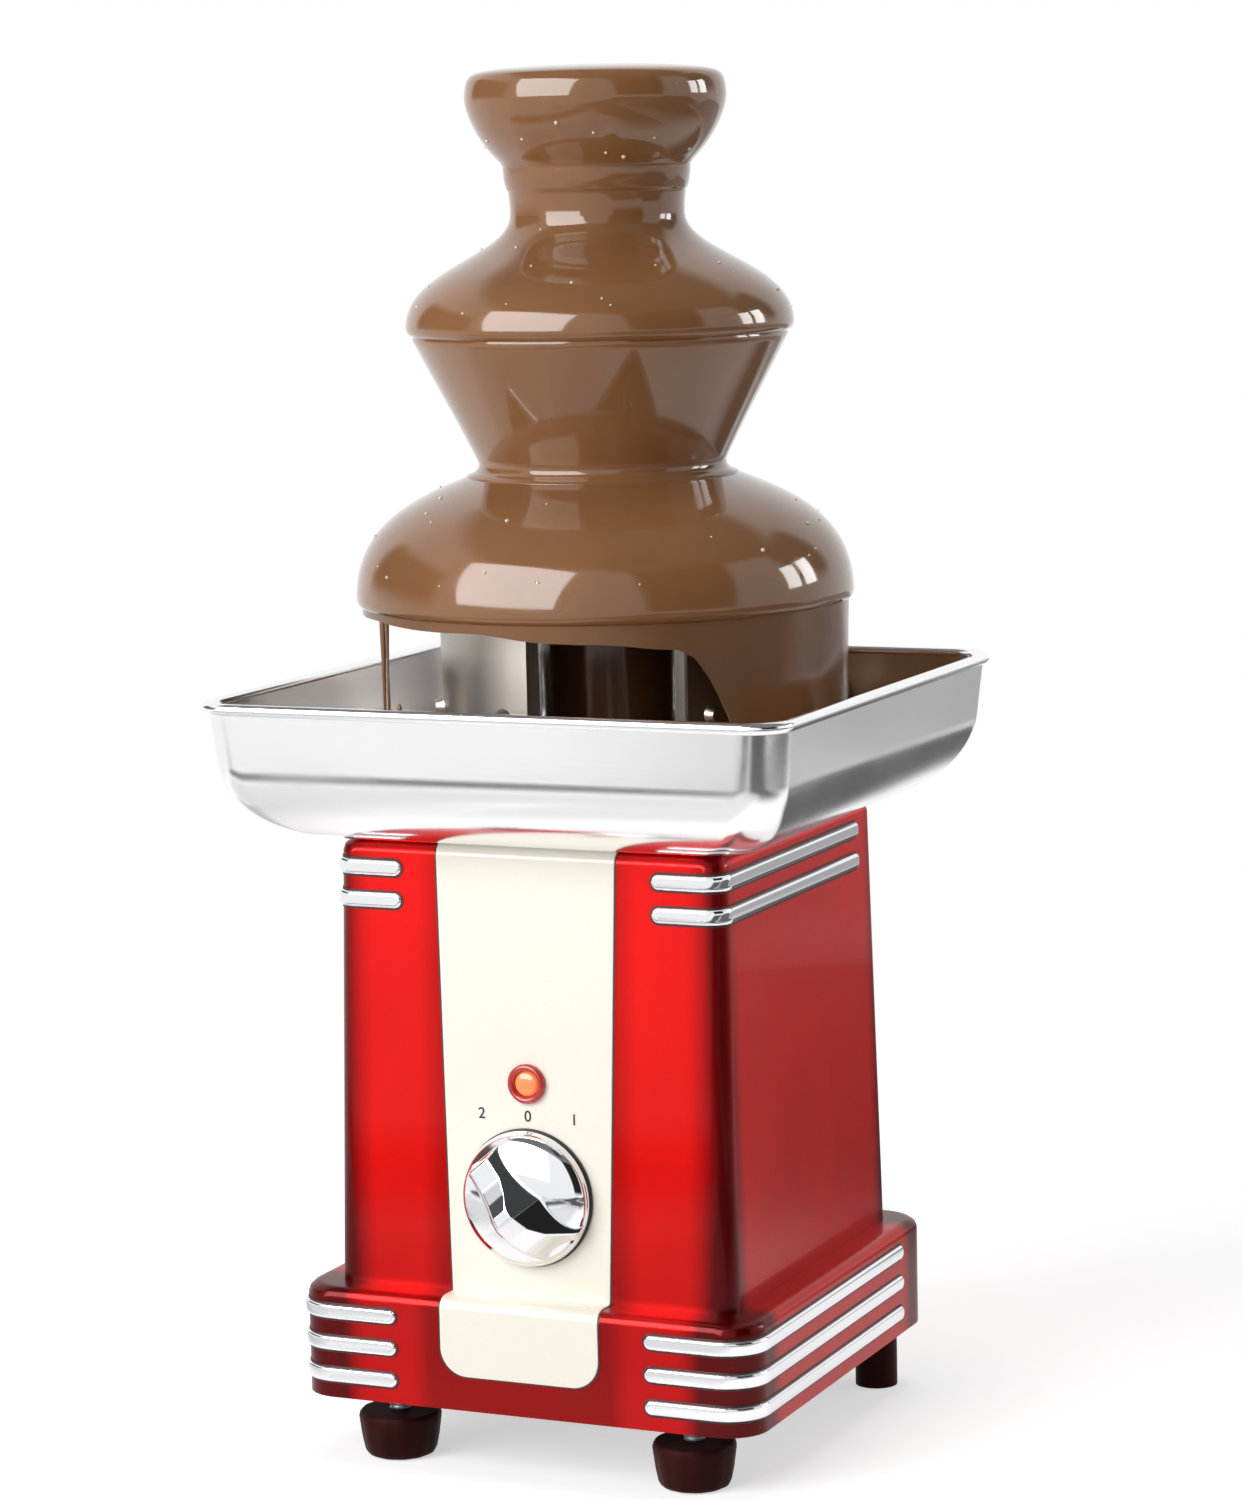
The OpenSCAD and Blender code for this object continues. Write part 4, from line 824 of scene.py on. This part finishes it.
    @staticmethod
    def card(name: str, matrix: Matrix, size: Point, tone: float, soft: float) -> None:
        """Adds a dark or bright card with soft edges that only reflections see.

        Args:
            name: Name of the card.
            matrix: Its place and turn.
            size: Width and height, in metres.
            tone: Grey level, above 1 for a lit card.
            soft: Width of the soft edge, in metres.
        """
        card = Bench.start(name.replace(" ", "_") + "_card", Primitive.PLANE, size=1.0)
        card.matrix_world = matrix @ Matrix.Diagonal((*size, 1, 1))
        tree = Tree(bpy.data.materials.new(name + " card"))
        cloud = tree.noise(2, 1)
        mask: Wire | float = 1.0
        for axis, long in zip("XY", size):
            mask = abs(tree.along(axis)).span(0.5, 0.5 - soft / long) * mask
        face = tree.add("ShaderNodeEmission", inputs={
            "Color": tree.mix(cloud, (1, 1, 1), (0.9, 0.9, 0.9)), "Strength": tone})
        clear = tree.add("ShaderNodeBsdfTransparent")
        both = tree.add("ShaderNodeMixShader", inputs={0: mask, 1: clear, 2: face})
        card.data.materials.append(tree.show(both))
        tree.owner.cycles.emission_sampling = "NONE"
        card.visible_camera = card.visible_shadow = card.visible_diffuse = False


# Sub-assemblies

@dataclass
class Housing:
    """Plinth, body, cream panel, chrome bars and feet."""

    edge: float = 0.35
    # Sizes of the dark sheets that paint the shadow in the gaps round the panel and the bars.
    shadow_gap: float = 0.5
    shadow_gap_proud: float = 0.12
    shadow_gap_wide: float = 1.018
    shadow_gap_back: float = 0.3
    shadow_gap_down: float = 0.4
    bar_proud: float = 0.95
    bar_soft: float = 0.5
    bar_reach: float = 2.6
    body_half: float = 60.3
    body_taper: float = 2.4
    body_z: float = 50.4
    body_h: float = 125.7
    body_corner: float = 5.8
    plinth_half: float = 69.2
    plinth_corner: float = 11.0
    foot_xy: Point = (45.2, -53.2)
    foot_r: float = 11.8
    foot_h: float = 12.6
    stud_r: float = 3.0
    stud_top: float = 32.6
    thread: float = 1.0
    ridges: int = 12
    ridge_depth: float = 0.018

    def build(self) -> None:
        """Builds and dresses the housing."""
        self.shells()
        self.bars()
        for side, body in ((-1, Body.FOOT_LEFT), (1, Body.FOOT_RIGHT)):
            self.foot(side, body)

    def shells(self) -> None:
        """Softens the edges of plinth, body and panel, and lays a dark sheet behind the panel's
        edge that paints the shadow in its gap.
        """
        for node, finish in (("plinth", RED), ("body_shell", RED), ("front_panel", CREAM)):
            piece = Bench.copy_of(node, node + "_skin", self.edge)
            Bench.settle(piece, Body.HOUSING, finish, node)
        # Painted shadow: a dark copy of the panel, a little wider, behind it and lower.
        shadow_gap = Bench.copy_of("front_panel", "front_panel_seat")
        Bench.shift(shadow_gap, lambda co: Vector((
            co.x * self.shadow_gap_wide, co.y + self.shadow_gap_back * MM, co.z - self.shadow_gap_down * MM)))
        Bench.settle(shadow_gap, Body.HOUSING, SHADOW_GAP)

    def bars(self) -> None:
        """Broadens the faces of the chrome bars and lays a dark sheet round each, a painted shadow
        in the gap.
        """
        for level in ("upper", "lower"):
            for side in ("left", "right"):
                node = f"{level}_bars_{side}"
                piece = Bench.copy_of(node, node + "_chrome", angle=50)
                Bench.shift(piece, lambda co: self.moved(co, level == "upper", self.crowned))
                Bench.settle(Bench.smooth(piece, 50), Body.HOUSING, CHROME, node)
                self.lay_shadow_gap(node, level == "upper")

    def crowned(self, proud: float) -> float:
        """Flattens the bar's crown, so that its face is broad."""
        crown = self.bar_proud * tanh(proud / self.bar_soft) / tanh(self.bar_reach)
        return proud if proud <= 0 else crown

    def moved(self, co: Vector, upper: bool, rule: Callable[[float], float]) -> Vector:
        """Changes a point's height above the wall that carries the bars.

        Args:
            co: Point in metres.
            upper: True on the body and False on the plinth.
            rule: Gives the new height from the old one, in millimetres.

        Returns:
            The moved point.
        """
        x, y, z = co / MM
        half, corner = self.plinth_half, self.plinth_corner
        if upper:
            half = self.body_half - self.body_taper * (z - self.body_z) / self.body_h
            corner = self.body_corner
        qx, qy = abs(x) - half + corner, abs(y) - half + corner
        if qx > 0 and qy > 0:
            long = hypot(qx, qy)
            nx, ny = qx / long, qy / long
        else:
            long = max(qx, qy)
            nx, ny = float(qx > qy), float(qx <= qy)
        step = rule(long - corner) - (long - corner)
        return MM * Vector((x + step * copysign(nx, x), y + step * copysign(ny, y), z))

    def lay_shadow_gap(self, node: str, upper: bool) -> None:
        """Lays the dark sheet that shows as a line round each bar: a painted shadow in the gap.

        Args:
            node: Node of the bars.
            upper: True on the body and False on the plinth.
        """
        # Painted shadow: a dark copy of the bars, pushed out and kept low on the wall.
        piece = Bench.copy_of(node, node + "_seat")
        Bench.edit(True)
        Bench.whole()
        bpy.ops.transform.shrink_fatten(value=self.shadow_gap * MM)
        Bench.edit(False)
        Bench.shift(piece, lambda co: self.moved(
            co, upper, lambda proud: min(proud, self.shadow_gap_proud)))
        Bench.settle(piece, Body.HOUSING, SHADOW_GAP)

    def foot(self, side: int, body: Body) -> None:
        """Turns one front foot and its threaded stud.

        Args:
            side: -1 for left, 1 for right.
            body: Body of that foot.
        """
        word = "left" if side < 0 else "right"
        shift = Matrix.Translation((side * self.foot_xy[0] * MM, self.foot_xy[1] * MM, 0))
        r, h = self.foot_r, self.foot_h
        pad = Bench.spun(f"foot_pad_{word}", [
            (0, 0.4), (r - 4.6, 0.4), (r - 4.2, 0), (r - 3.2, 0), (r - 2.2, 0.5), (r - 1.6, 1.6),
            (r - 0.9, 5), (r - 0.3, 9.4), (r - 0.1, 11.1), (r - 0.3, 12.0), (r - 0.9, h),
            (self.stud_r + 0.5, h), (0, h)], steps=96)

        def facet(co: Vector) -> Vector:
            """Draws the sides in a little between soft ridges.

            Args:
                co: Point in metres.

            Returns:
                The moved point.
            """
            wave = abs(cos(self.ridges / 2 * atan2(co.y, co.x)))
            k = 1 - self.ridge_depth * (1 - wave)
            return Vector((co.x * k, co.y * k, co.z))

        Bench.shift(pad, facet)
        pad.data.transform(shift)
        Bench.settle(Bench.smooth(pad, 40), body, RUBBER, f"front_foot_{word}")
        r, top, z = self.stud_r, self.stud_top, h - 5
        points = [(0, z)]
        while z < top - self.thread - 0.6:
            points += [(r - 0.45, z), (r, z + self.thread / 2)]
            z += self.thread
        points += [(r - 0.4, top - 0.5), (r - 1.0, top), (0, top)]
        stud = Bench.spun(f"foot_thread_{word}", points, steps=40)
        stud.data.transform(shift)
        Bench.settle(Bench.smooth(stud, 25), body, ZINC, f"foot_stud_{word}")


@dataclass
class Controls:
    """Rotary knob, lamp and the numerals above the knob."""

    half_at_knob: float = 59.758
    z_knob: float = 78.8
    z_lamp: float = 110.7
    half_at_lamp: float = 59.149
    lean: float = 1.094
    knob_r: float = 19.0
    knob_base: float = 0.9
    rim_h: float = 2.2
    dome: float = 8.6
    dome_steps: int = 72
    knob_steps: int = 288
    pointer: float = 40.0
    grip_from: float = 2.3
    grip_crest: tuple[Point, ...] = (
        (-18, 2.6), (-16.5, 5.0), (-12, 10.5), (-8, 13.4), (-2.8, 15.2), (0, 14.6), (3.6, 12.4),
        (8, 10.4), (14.6, 9.0), (16.4, 4.4), (17.2, 2.6))
    grip_walls: tuple[Triple, ...] = ((15.1, -0.26, 1.0145), (16.6, 0.173, 1.037))
    grip_left: Point = (-5.4, 1.6)
    proud: float = 0.4
    digit_h: float = 4.4
    digit_rise: float = 22.6
    digit_places: tuple[tuple[float, str], ...] = ((-14.0, "2"), (0.0, "0"), (14.0, "1"))
    ink: float = 0.03
    bold: float = 0.05

    def on_front(self, half: float, z: float) -> Matrix:
        """Matrix from the front wall's right, up and outward, at a distance and height in mm."""
        c, s = cos(radians(self.lean)), sin(radians(self.lean))
        return (Matrix.Translation((0, -half * MM, z * MM))
                @ Matrix(((1, 0, 0), (0, s, -c), (0, c, s))).to_4x4())

    def build(self) -> None:
        """Builds knob, lamp and numerals."""
        self.knob()
        self.lamp()
        for x, digit in self.digit_places:
            self.numeral(x, digit)

    def knob(self) -> None:
        """Spins a dome, raises the curved grip from it and lays a dark ring under it."""
        r, b = self.knob_r, self.knob_base
        place = self.on_front(self.half_at_knob, self.z_knob)
        turns = (radians(90 * k / self.dome_steps) for k in range(1, self.dome_steps))
        rise = [((r - 0.3) * cos(a), b + self.rim_h + (self.dome - self.rim_h) * sin(a))
                for a in turns]
        points = [(0, b), (r - 0.8, b), (r - 0.15, b + 0.3), (r, b + 0.9), (r, b + 1.7),
                  (r - 0.1, b + 2.0), *rise, (0, b + self.dome)]
        piece = Bench.spun("knob_chrome", points, self.knob_steps)
        turn = radians(self.pointer)
        px, py = -sin(turn), cos(turn)

        def grip(co: Vector) -> Vector:
            """Lifts the points under the grip's crest and between its walls.

            Args:
                co: Point in metres.

            Returns:
                The moved point.
            """
            u, v, n = co / MM
            if n < b + self.grip_from:
                return co
            along = u * px + v * py
            across = u * py - v * px
            crest = b + ramp(along, self.grip_crest)
            left = crest + self.grip_left[1] * (across - self.grip_left[0])
            walls = [high + climb * along - fall * across for high, climb, fall in self.grip_walls]
            return Vector((u, v, max(n, min(crest, left, *walls)))) * MM

        Bench.shift(piece, grip)
        Bench.modify(piece, "SMOOTH", factor=0.5, iterations=3)
        piece.data.transform(place)
        Bench.settle(Bench.smooth(piece, 50), Body.KNOB, CHROME, "knob")
        ring = Bench.spun("knob_shadow_ring", [
            (r - 2.5, 0.55), (r + 0.35, 0.55), (r + 0.4, 0.9), (r + 0.2, b + 0.35),
            (r - 2.5, b + 0.35)], self.knob_steps // 2, closed=True)
        ring.data.transform(place)
        Bench.settle(Bench.smooth(ring, 40), Body.KNOB, BLACK)

    def lamp(self) -> None:
        """Turns the lamp's ring and its faceted window."""
        place = self.on_front(self.half_at_lamp, self.z_lamp)
        p = self.proud
        ring = Bench.spun("lamp_ring", [
            (3.55, p - 0.2), (5.5, p - 0.2), (5.6, p + 0.5), (5.45, p + 1.3), (5.0, p + 1.7),
            (4.5, p + 1.75), (4.0, p + 1.5), (3.7, p + 1.0), (3.55, p + 0.4)],
            steps=80, closed=True)
        ring.data.transform(place)
        Bench.settle(Bench.smooth(ring, 60), Body.HOUSING, LAMP_RING, "lamp_bezel")
        glass = Bench.spun("lamp_glass", [
            (0, p - 0.2), (3.45, p - 0.2), (3.45, p + 0.5), (3.0, p + 1.05), (2.2, p + 1.35),
            (1.2, p + 1.5), (0, p + 1.55)], steps=64)
        glass.data.transform(place)
        Bench.settle(Bench.smooth(glass, 30), Body.HOUSING, LAMP_GLASS, "lamp_window")

    def numeral(self, x: float, digit: str) -> None:
        """Prints one numeral on the panel.

        Args:
            x: Its middle from the panel's centre, in millimetres.
            digit: The numeral.
        """
        bpy.ops.object.select_all(action="DESELECT")
        bpy.ops.object.text_add(location=(0, 0, 0))
        piece = bpy.context.active_object
        piece.name = f"numeral_{digit}"
        text = piece.data
        text.body = digit
        text.align_x = text.align_y = "CENTER"
        text.size = self.digit_h * MM
        text.extrude = self.ink * MM
        text.offset = self.bold * MM
        bpy.ops.object.convert(target="MESH")
        half = self.half_at_knob - self.digit_rise * tan(radians(self.lean))
        place = (self.on_front(half, self.z_knob + self.digit_rise)
                 @ Matrix.Translation((x * MM, 0, (self.proud + self.ink) * MM)))
        piece.data.transform(place)
        Bench.settle(piece, Body.HOUSING, INK)


@dataclass
class BowlSet:
    """Square steel pan with a rolled rim."""

    rim_half: float = 87.3
    rim_d: float = 3.3
    rim_lap: float = 0.42
    corner: float = 12.7
    lean: float = 5.5
    fillet: float = 24.0
    sheet: float = 1.5
    z_bottom: float = 177.0
    z_rim: float = 216.6
    fillet_steps: int = 16
    roll_start: float = -75
    roll_step: float = 22
    roll_count: int = 13

    def wall(self, inset: float) -> list[Point]:
        """Half widths and heights from the floor's edge to under the rim.

        Args:
            inset: Distance inside the outer face.

        Returns:
            Rings of the wall, lowest first.
        """
        lean = radians(self.lean)
        top = self.z_rim - self.rim_d / 2
        wall_half = self.rim_half - self.rim_d * self.rim_lap - inset
        r = self.fillet - inset
        zc = self.z_bottom + self.fillet
        half = wall_half - (top - zc) * tan(lean) - r * (1 / cos(lean) - 1) - r
        steps = self.fillet_steps
        turns = (radians(90 - (90 - self.lean) * k / steps) for k in range(steps + 1))
        rings = [(half + r * cos(a), zc - r * sin(a)) for a in turns]
        middle = (wall_half - 0.5 * (top - zc) * tan(lean), (top + zc) / 2)
        return [*rings, middle, (wall_half, top - 0.6)]

    def build(self) -> None:
        """Lofts outer wall, rolled rim and inner wall as one sheet."""
        r = self.rim_d / 2
        c, z = self.rim_half - r, self.z_rim - r
        turns = (radians(self.roll_start + self.roll_step * k) for k in range(self.roll_count))
        roll = [(c + r * cos(a), z + r * sin(a)) for a in turns]
        rings = self.wall(0) + roll + self.wall(self.sheet)[::-1]
        corner = self.corner - self.rim_d * self.rim_lap
        piece = Bench.lofted("bowl_pan", rings, corner, segments=12)
        Bench.settle(Bench.smooth(piece, 60, weighted=True), Body.HOUSING, PAN_STEEL, "bowl")


def inset(points: Sequence[Point], depth: float) -> list[Point]:
    """Moves a profile inwards.

    Args:
        points: Profile, outer side on the left of its direction.
        depth: Distance in millimetres.

    Returns:
        The moved profile.
    """
    out = []
    for k, (r, z) in enumerate(points):
        a, b = points[max(k - 1, 0)], points[min(k + 1, len(points) - 1)]
        dr, dz = b[0] - a[0], b[1] - a[1]
        long = hypot(dr, dz)
        out.append((r + depth * dz / long, z - depth * dr / long))
    return out


@dataclass
class Tower:
    """Steel drum under the tiers."""

    tube_r: float = 18.5
    coat: tuple[Point, ...] = ((0.1, 190.5), (1.0, 190.5), (0.7, 205), (0.9, 225), (0.7, 245),
                               (0.9, 253.4), (0.1, 253.4))

    def build(self) -> None:
        """Softens the drum and coats its tube."""
        drum = Bench.copy_of("tower_drum", "drum_steel", bevel=0.25)
        Bench.settle(drum, Body.TOWER, DRUM_STEEL, "tower_drum")
        points = [(self.tube_r + thick, z) for thick, z in self.coat]
        coat = Bench.spun("tube_coat", points, steps=72, closed=True)
        Bench.settle(Bench.smooth(coat, 40), Body.TOWER, DARK_FILM)


@dataclass
class ChocolateFlow:
    """Chocolate in the crown, on the tiers, falling and in the bowl."""

    z_pool: float = 189.5
    lower_dome: tuple[Point, ...] = ((36.5, 274.5), (52.0, 268.5), (69.5, 262.0), (70.2, 241.7))
    upper_dome: tuple[Point, ...] = ((24.5, 346.5), (25.0, 335.5), (53.5, 332.5), (54.5, 316.7))
    crown_flare: tuple[Point, ...] = ((36.6, 379.4), (36.6, 374.6), (32.8, 366.8), (26.9, 361.2))
    cone: tuple[Point, ...] = ((52.8, 312.6), (47.2, 301.4), (40.4, 289.6), (34.9, 277.8))
    coat: float = 2.2
    film_top: float = 238.4
    film_r: float = 68.3
    film_t: float = 0.9
    film_rows: int = 40
    film_fold: float = 1.3
    film_draw: float = 1.3
    film_rag: float = 0.9
    film_twist: float = 2.5
    twist_at: tuple[Point, ...] = ((20, 0), (45, 1), (90, 0))
    rag_scale: float = 0.06
    fold_scale: Point = (0.055, 0.5)
    fold_grow: float = 1.6
    film_steps: int = 288
    steps: int = 192
    swell_from: float = 6.0
    swell_xy: float = 38
    swell_z: float = 26
    hem: tuple[Point, ...] = (
        (-180, 4), (-160, 3), (-70, 2.0), (-42, 2.2), (-20, 2.6), (-4, 3.2), (9, 4.4), (18, 5.6),
        (32, 6.4), (40, 7.2), (44, 10), (48, 17), (53, 30), (57, 48.5), (145, 48.5), (156, 20),
        (165, 7), (180, 4))
    strand_r: float = 67.6
    strand_steps: int = 30
    strand_mean: float = 0.72
    strand_swing: float = 0.28
    strand_waves: float = 6
    strand_end: float = 0.02
    strand_tip: float = 0.3
    # Degrees from the front to the right, top, greatest radius
    strand_rows: tuple[Triple, ...] = (
        (-42.0, 238.6, 1.0), (-39.5, 238.6, 0.8), (-34.0, 214.0, 1.2), (200.0, 238.6, 1.1))
    bubble_counts: tuple[int, ...] = (44, 34, 16)
    bubble_r: Point = (0.28, 0.62)
    bubble_spread: Point = (2.2, 1.2)
    bubble_seed: int = 5
    curve_steps: int = 60

    def build(self) -> None:
        """Builds every stretch of the flow."""
        self.crown()
        self.upper()
        self.lower()
        self.film()
        self.strands()
        self.pool()
        self.bubbles()

    def poured(self, name: str, points: Sequence[Point], size: float, seed: float,
               closed: bool = True) -> None:
        """Turns a stretch of the flow, gives it slow uneven swells and dresses it.

        Args:
            name: Name of the stretch.
            points: Radius and height of each profile point, in millimetres.
            size: Height of the swells, in millimetres.
            seed: Place in the noise.
            closed: Joins the profile's last point to its first.
        """
        def swell(co: Vector) -> Vector:
            """Pushes a point along its radius.

            Args:
                co: Point in metres.

            Returns:
                The moved point.
            """
            r = hypot(co.x, co.y)
            if r < self.swell_from * MM:
                return co
            xy, z = self.swell_xy, self.swell_z
            wave = noise.noise(Vector((co.x * xy, co.y * xy, co.z * z + seed)))
            k = 1 + wave * size * MM / r
            return Vector((co.x * k, co.y * k, co.z))

        piece = Bench.spun(name + "_flow", points, self.steps, closed)
        Bench.shift(piece, swell)
        Bench.settle(Bench.smooth(piece, 65), Body.TOWER, CHOCOLATE, "chocolate_" + name)

    def crown(self) -> None:
        """Turns the crown with its neck."""
        cap = [(0, 388.0), (12, 387.9), (22, 387.5), (28, 387.0), (31.5, 386.5), (33.8, 385.9),
               (35.2, 385.0), (35.9, 383.8), (36.3, 382.3), (36.5, 380.8)]
        neck = [(26.7, 360.7), (26.3, 360.3)]
        neck += bezier((26.3, 359.6), (26.2, 356.4), (25.7, 354.6), (25.3, 353.6), steps=6)
        neck += bezier((24.9, 353.2), (24.6, 351.0), (24.4, 349.0), self.upper_dome[0], steps=10)
        hollow = [(19.2, 346.4), (19.2, 358.2), (0, 358.2)]
        points = cap + bezier(*self.crown_flare, steps=16) + neck + hollow
        self.poured("crown", points, size=0.18, seed=1.0, closed=False)

    def upper(self) -> None:
        """Turns the upper tier's coat with the cone that falls from it."""
        dome, fall = bezier(*self.upper_dome, steps=24), bezier(*self.cone, steps=22)
        lip = [(54.55, 315.7), (54.2, 314.6), (53.4, 313.8), (52.5, 313.5)]
        foot = [(35.0, 276.4), (36.0, 275.2), (38.2, 274.3), (38.4, 273.4), (33.8, 275.2)]
        inside = inset(fall, 2.0)[::-1] + inset(dome, self.coat)[::-1]
        self.poured("upper", dome + lip + fall + foot + inside, size=0.16, seed=7.0)

    def lower(self) -> None:
        """Turns the lower tier's coat."""
        dome = bezier(*self.lower_dome, steps=26)
        lip = [(70.25, 240.5), (70.0, 239.3), (69.3, 238.4), (68.6, 238.1), (67.7, 238.4),
               (66.9, 239.6)]
        self.poured("lower", dome + lip + inset(dome, self.coat)[::-1], size=0.16, seed=13.0)

    def film(self) -> None:
        """Drapes the film that falls from the lower rim."""
        full = self.film_top - self.z_pool - 0.3
        points = [(self.film_r, self.film_top - full * k / self.film_rows)
                  for k in range(self.film_rows + 1)]
        piece = Bench.spun("falling_film", points, self.film_steps)

        def drape(co: Vector) -> Vector:
            """Shortens a column to its hem and folds it.

            Args:
                co: Point in metres.

            Returns:
                The moved point.
            """
            az = degrees(atan2(co.x, -co.y))
            deep = (self.film_top * MM - co.z) / (full * MM)
            ragged = noise.noise(Vector((az * self.rag_scale, 0.3, 0))) * self.film_rag
            length = min(ramp(az, self.hem) + ragged, full)
            z = self.film_top - length * deep
            fall = (self.film_top - z) / full
            across, down = self.fold_scale
            wave = noise.noise(Vector((az * across, fall * down, 2)))
            fold = wave * self.film_fold * min(1, fall * self.fold_grow)
            r = self.film_r + fold - self.film_draw * fall
            twist = self.film_twist * fall * ramp(az, self.twist_at)
            a = radians(az + twist)
            return Vector((r * sin(a), -r * cos(a), z)) * MM

        Bench.shift(piece, drape)
        Bench.modify(piece, "SOLIDIFY", thickness=self.film_t * MM, offset=0.0)
        Bench.settle(Bench.smooth(piece, 60), Body.TOWER, FILM)

    def strands(self) -> None:
        """Turns the thin strands that fall at the left and the back."""
        low = self.z_pool + 0.4
        ts = [j / self.strand_steps for j in range(self.strand_steps + 1)]
        for k, (az, top, thick) in enumerate(self.strand_rows):
            points = [(0, top + 0.2)]
            for t in ts:
                wave = self.strand_mean + self.strand_swing * cos(t * self.strand_waves + k)
                tip = 1 if self.strand_end < t < 1 - self.strand_end else self.strand_tip
                points.append((thick * wave * tip, top + (low - top) * t))
            piece = Bench.spun(f"strand_{k}", [*points, (0, low)], steps=20)
            a, r = radians(az), self.strand_r * MM
            piece.data.transform(Matrix.Translation((r * sin(a), -r * cos(a), 0)))
            Bench.settle(Bench.smooth(piece, 60), Body.TOWER, CHOCOLATE)

    def pool(self) -> None:
        """Softens the pool in the bowl."""
        piece = Bench.copy_of("chocolate_pool", "pool_flow", angle=40)
        Bench.settle(piece, Body.HOUSING, CHOCOLATE, "chocolate_pool")

    def bubbles(self) -> None:
        """Scatters small bubbles on the coats, coloured pale partly as froth and partly as a
        painted highlight.
        """
        dice, steps = random.Random(self.bubble_seed), self.curve_steps
        r, z = self.crown_flare[0]
        piece = Bench.start("bubbles", Primitive.BALL, subdivisions=2, radius=0.4 * MM,
                            location=(r * MM, 0, z * MM))
        Bench.edit(True)
        curves = (self.lower_dome, self.upper_dome, self.crown_flare)
        for curve, count in zip(curves, self.bubble_counts):
            line = bezier(*curve, steps)
            for _ in range(count):
                r, z = line[min(int(dice.betavariate(*self.bubble_spread) * steps), steps)]
                a = dice.uniform(0, 2 * pi)
                bpy.ops.mesh.primitive_ico_sphere_add(
                    subdivisions=2, radius=dice.uniform(*self.bubble_r) * MM,
                    location=(r * MM * cos(a), r * MM * sin(a), z * MM))
        Bench.edit(False)
        Bench.settle(Bench.smooth(piece, 80), Body.TOWER, FROTH_AND_HIGHLIGHT)


@dataclass
class Works:
    """Finishes of the nodes, by their material slot."""

    finishes: tuple[Finish, ...] = (
        RED, CREAM, CHROME, BLACK, RUBBER, ZINC, BRASS, LAMP_RING, LAMP_GLASS, BULB, WHITE, SEAL,
        PAN_STEEL, ALLOY, SHEATH, IRON, COIL, DRUM_STEEL, CHOCOLATE)

    def build(self) -> None:
        """Gives each node the finish of its material slot."""
        by_slot = {finish.slot: finish for finish in self.finishes}
        for part in frame["record"]["subparts"]:
            node = frame["nodes"][part["node"]]
            node.data.materials.clear()
            node.data.materials.append(by_slot[part["material_slot"]].material())
            LOG.info("%s: dressed as %s", part["node"], part["material_slot"])


def main() -> None:
    """Builds the sub-assemblies in order and reports each piece."""
    logging.basicConfig(level=logging.INFO, format="%(message)s")
    Studio().build()
    for assembly in (Works(), Housing(), Controls(), BowlSet(), Tower(), ChocolateFlow()):
        assembly.build()


if __name__ == "__main__":
    main()
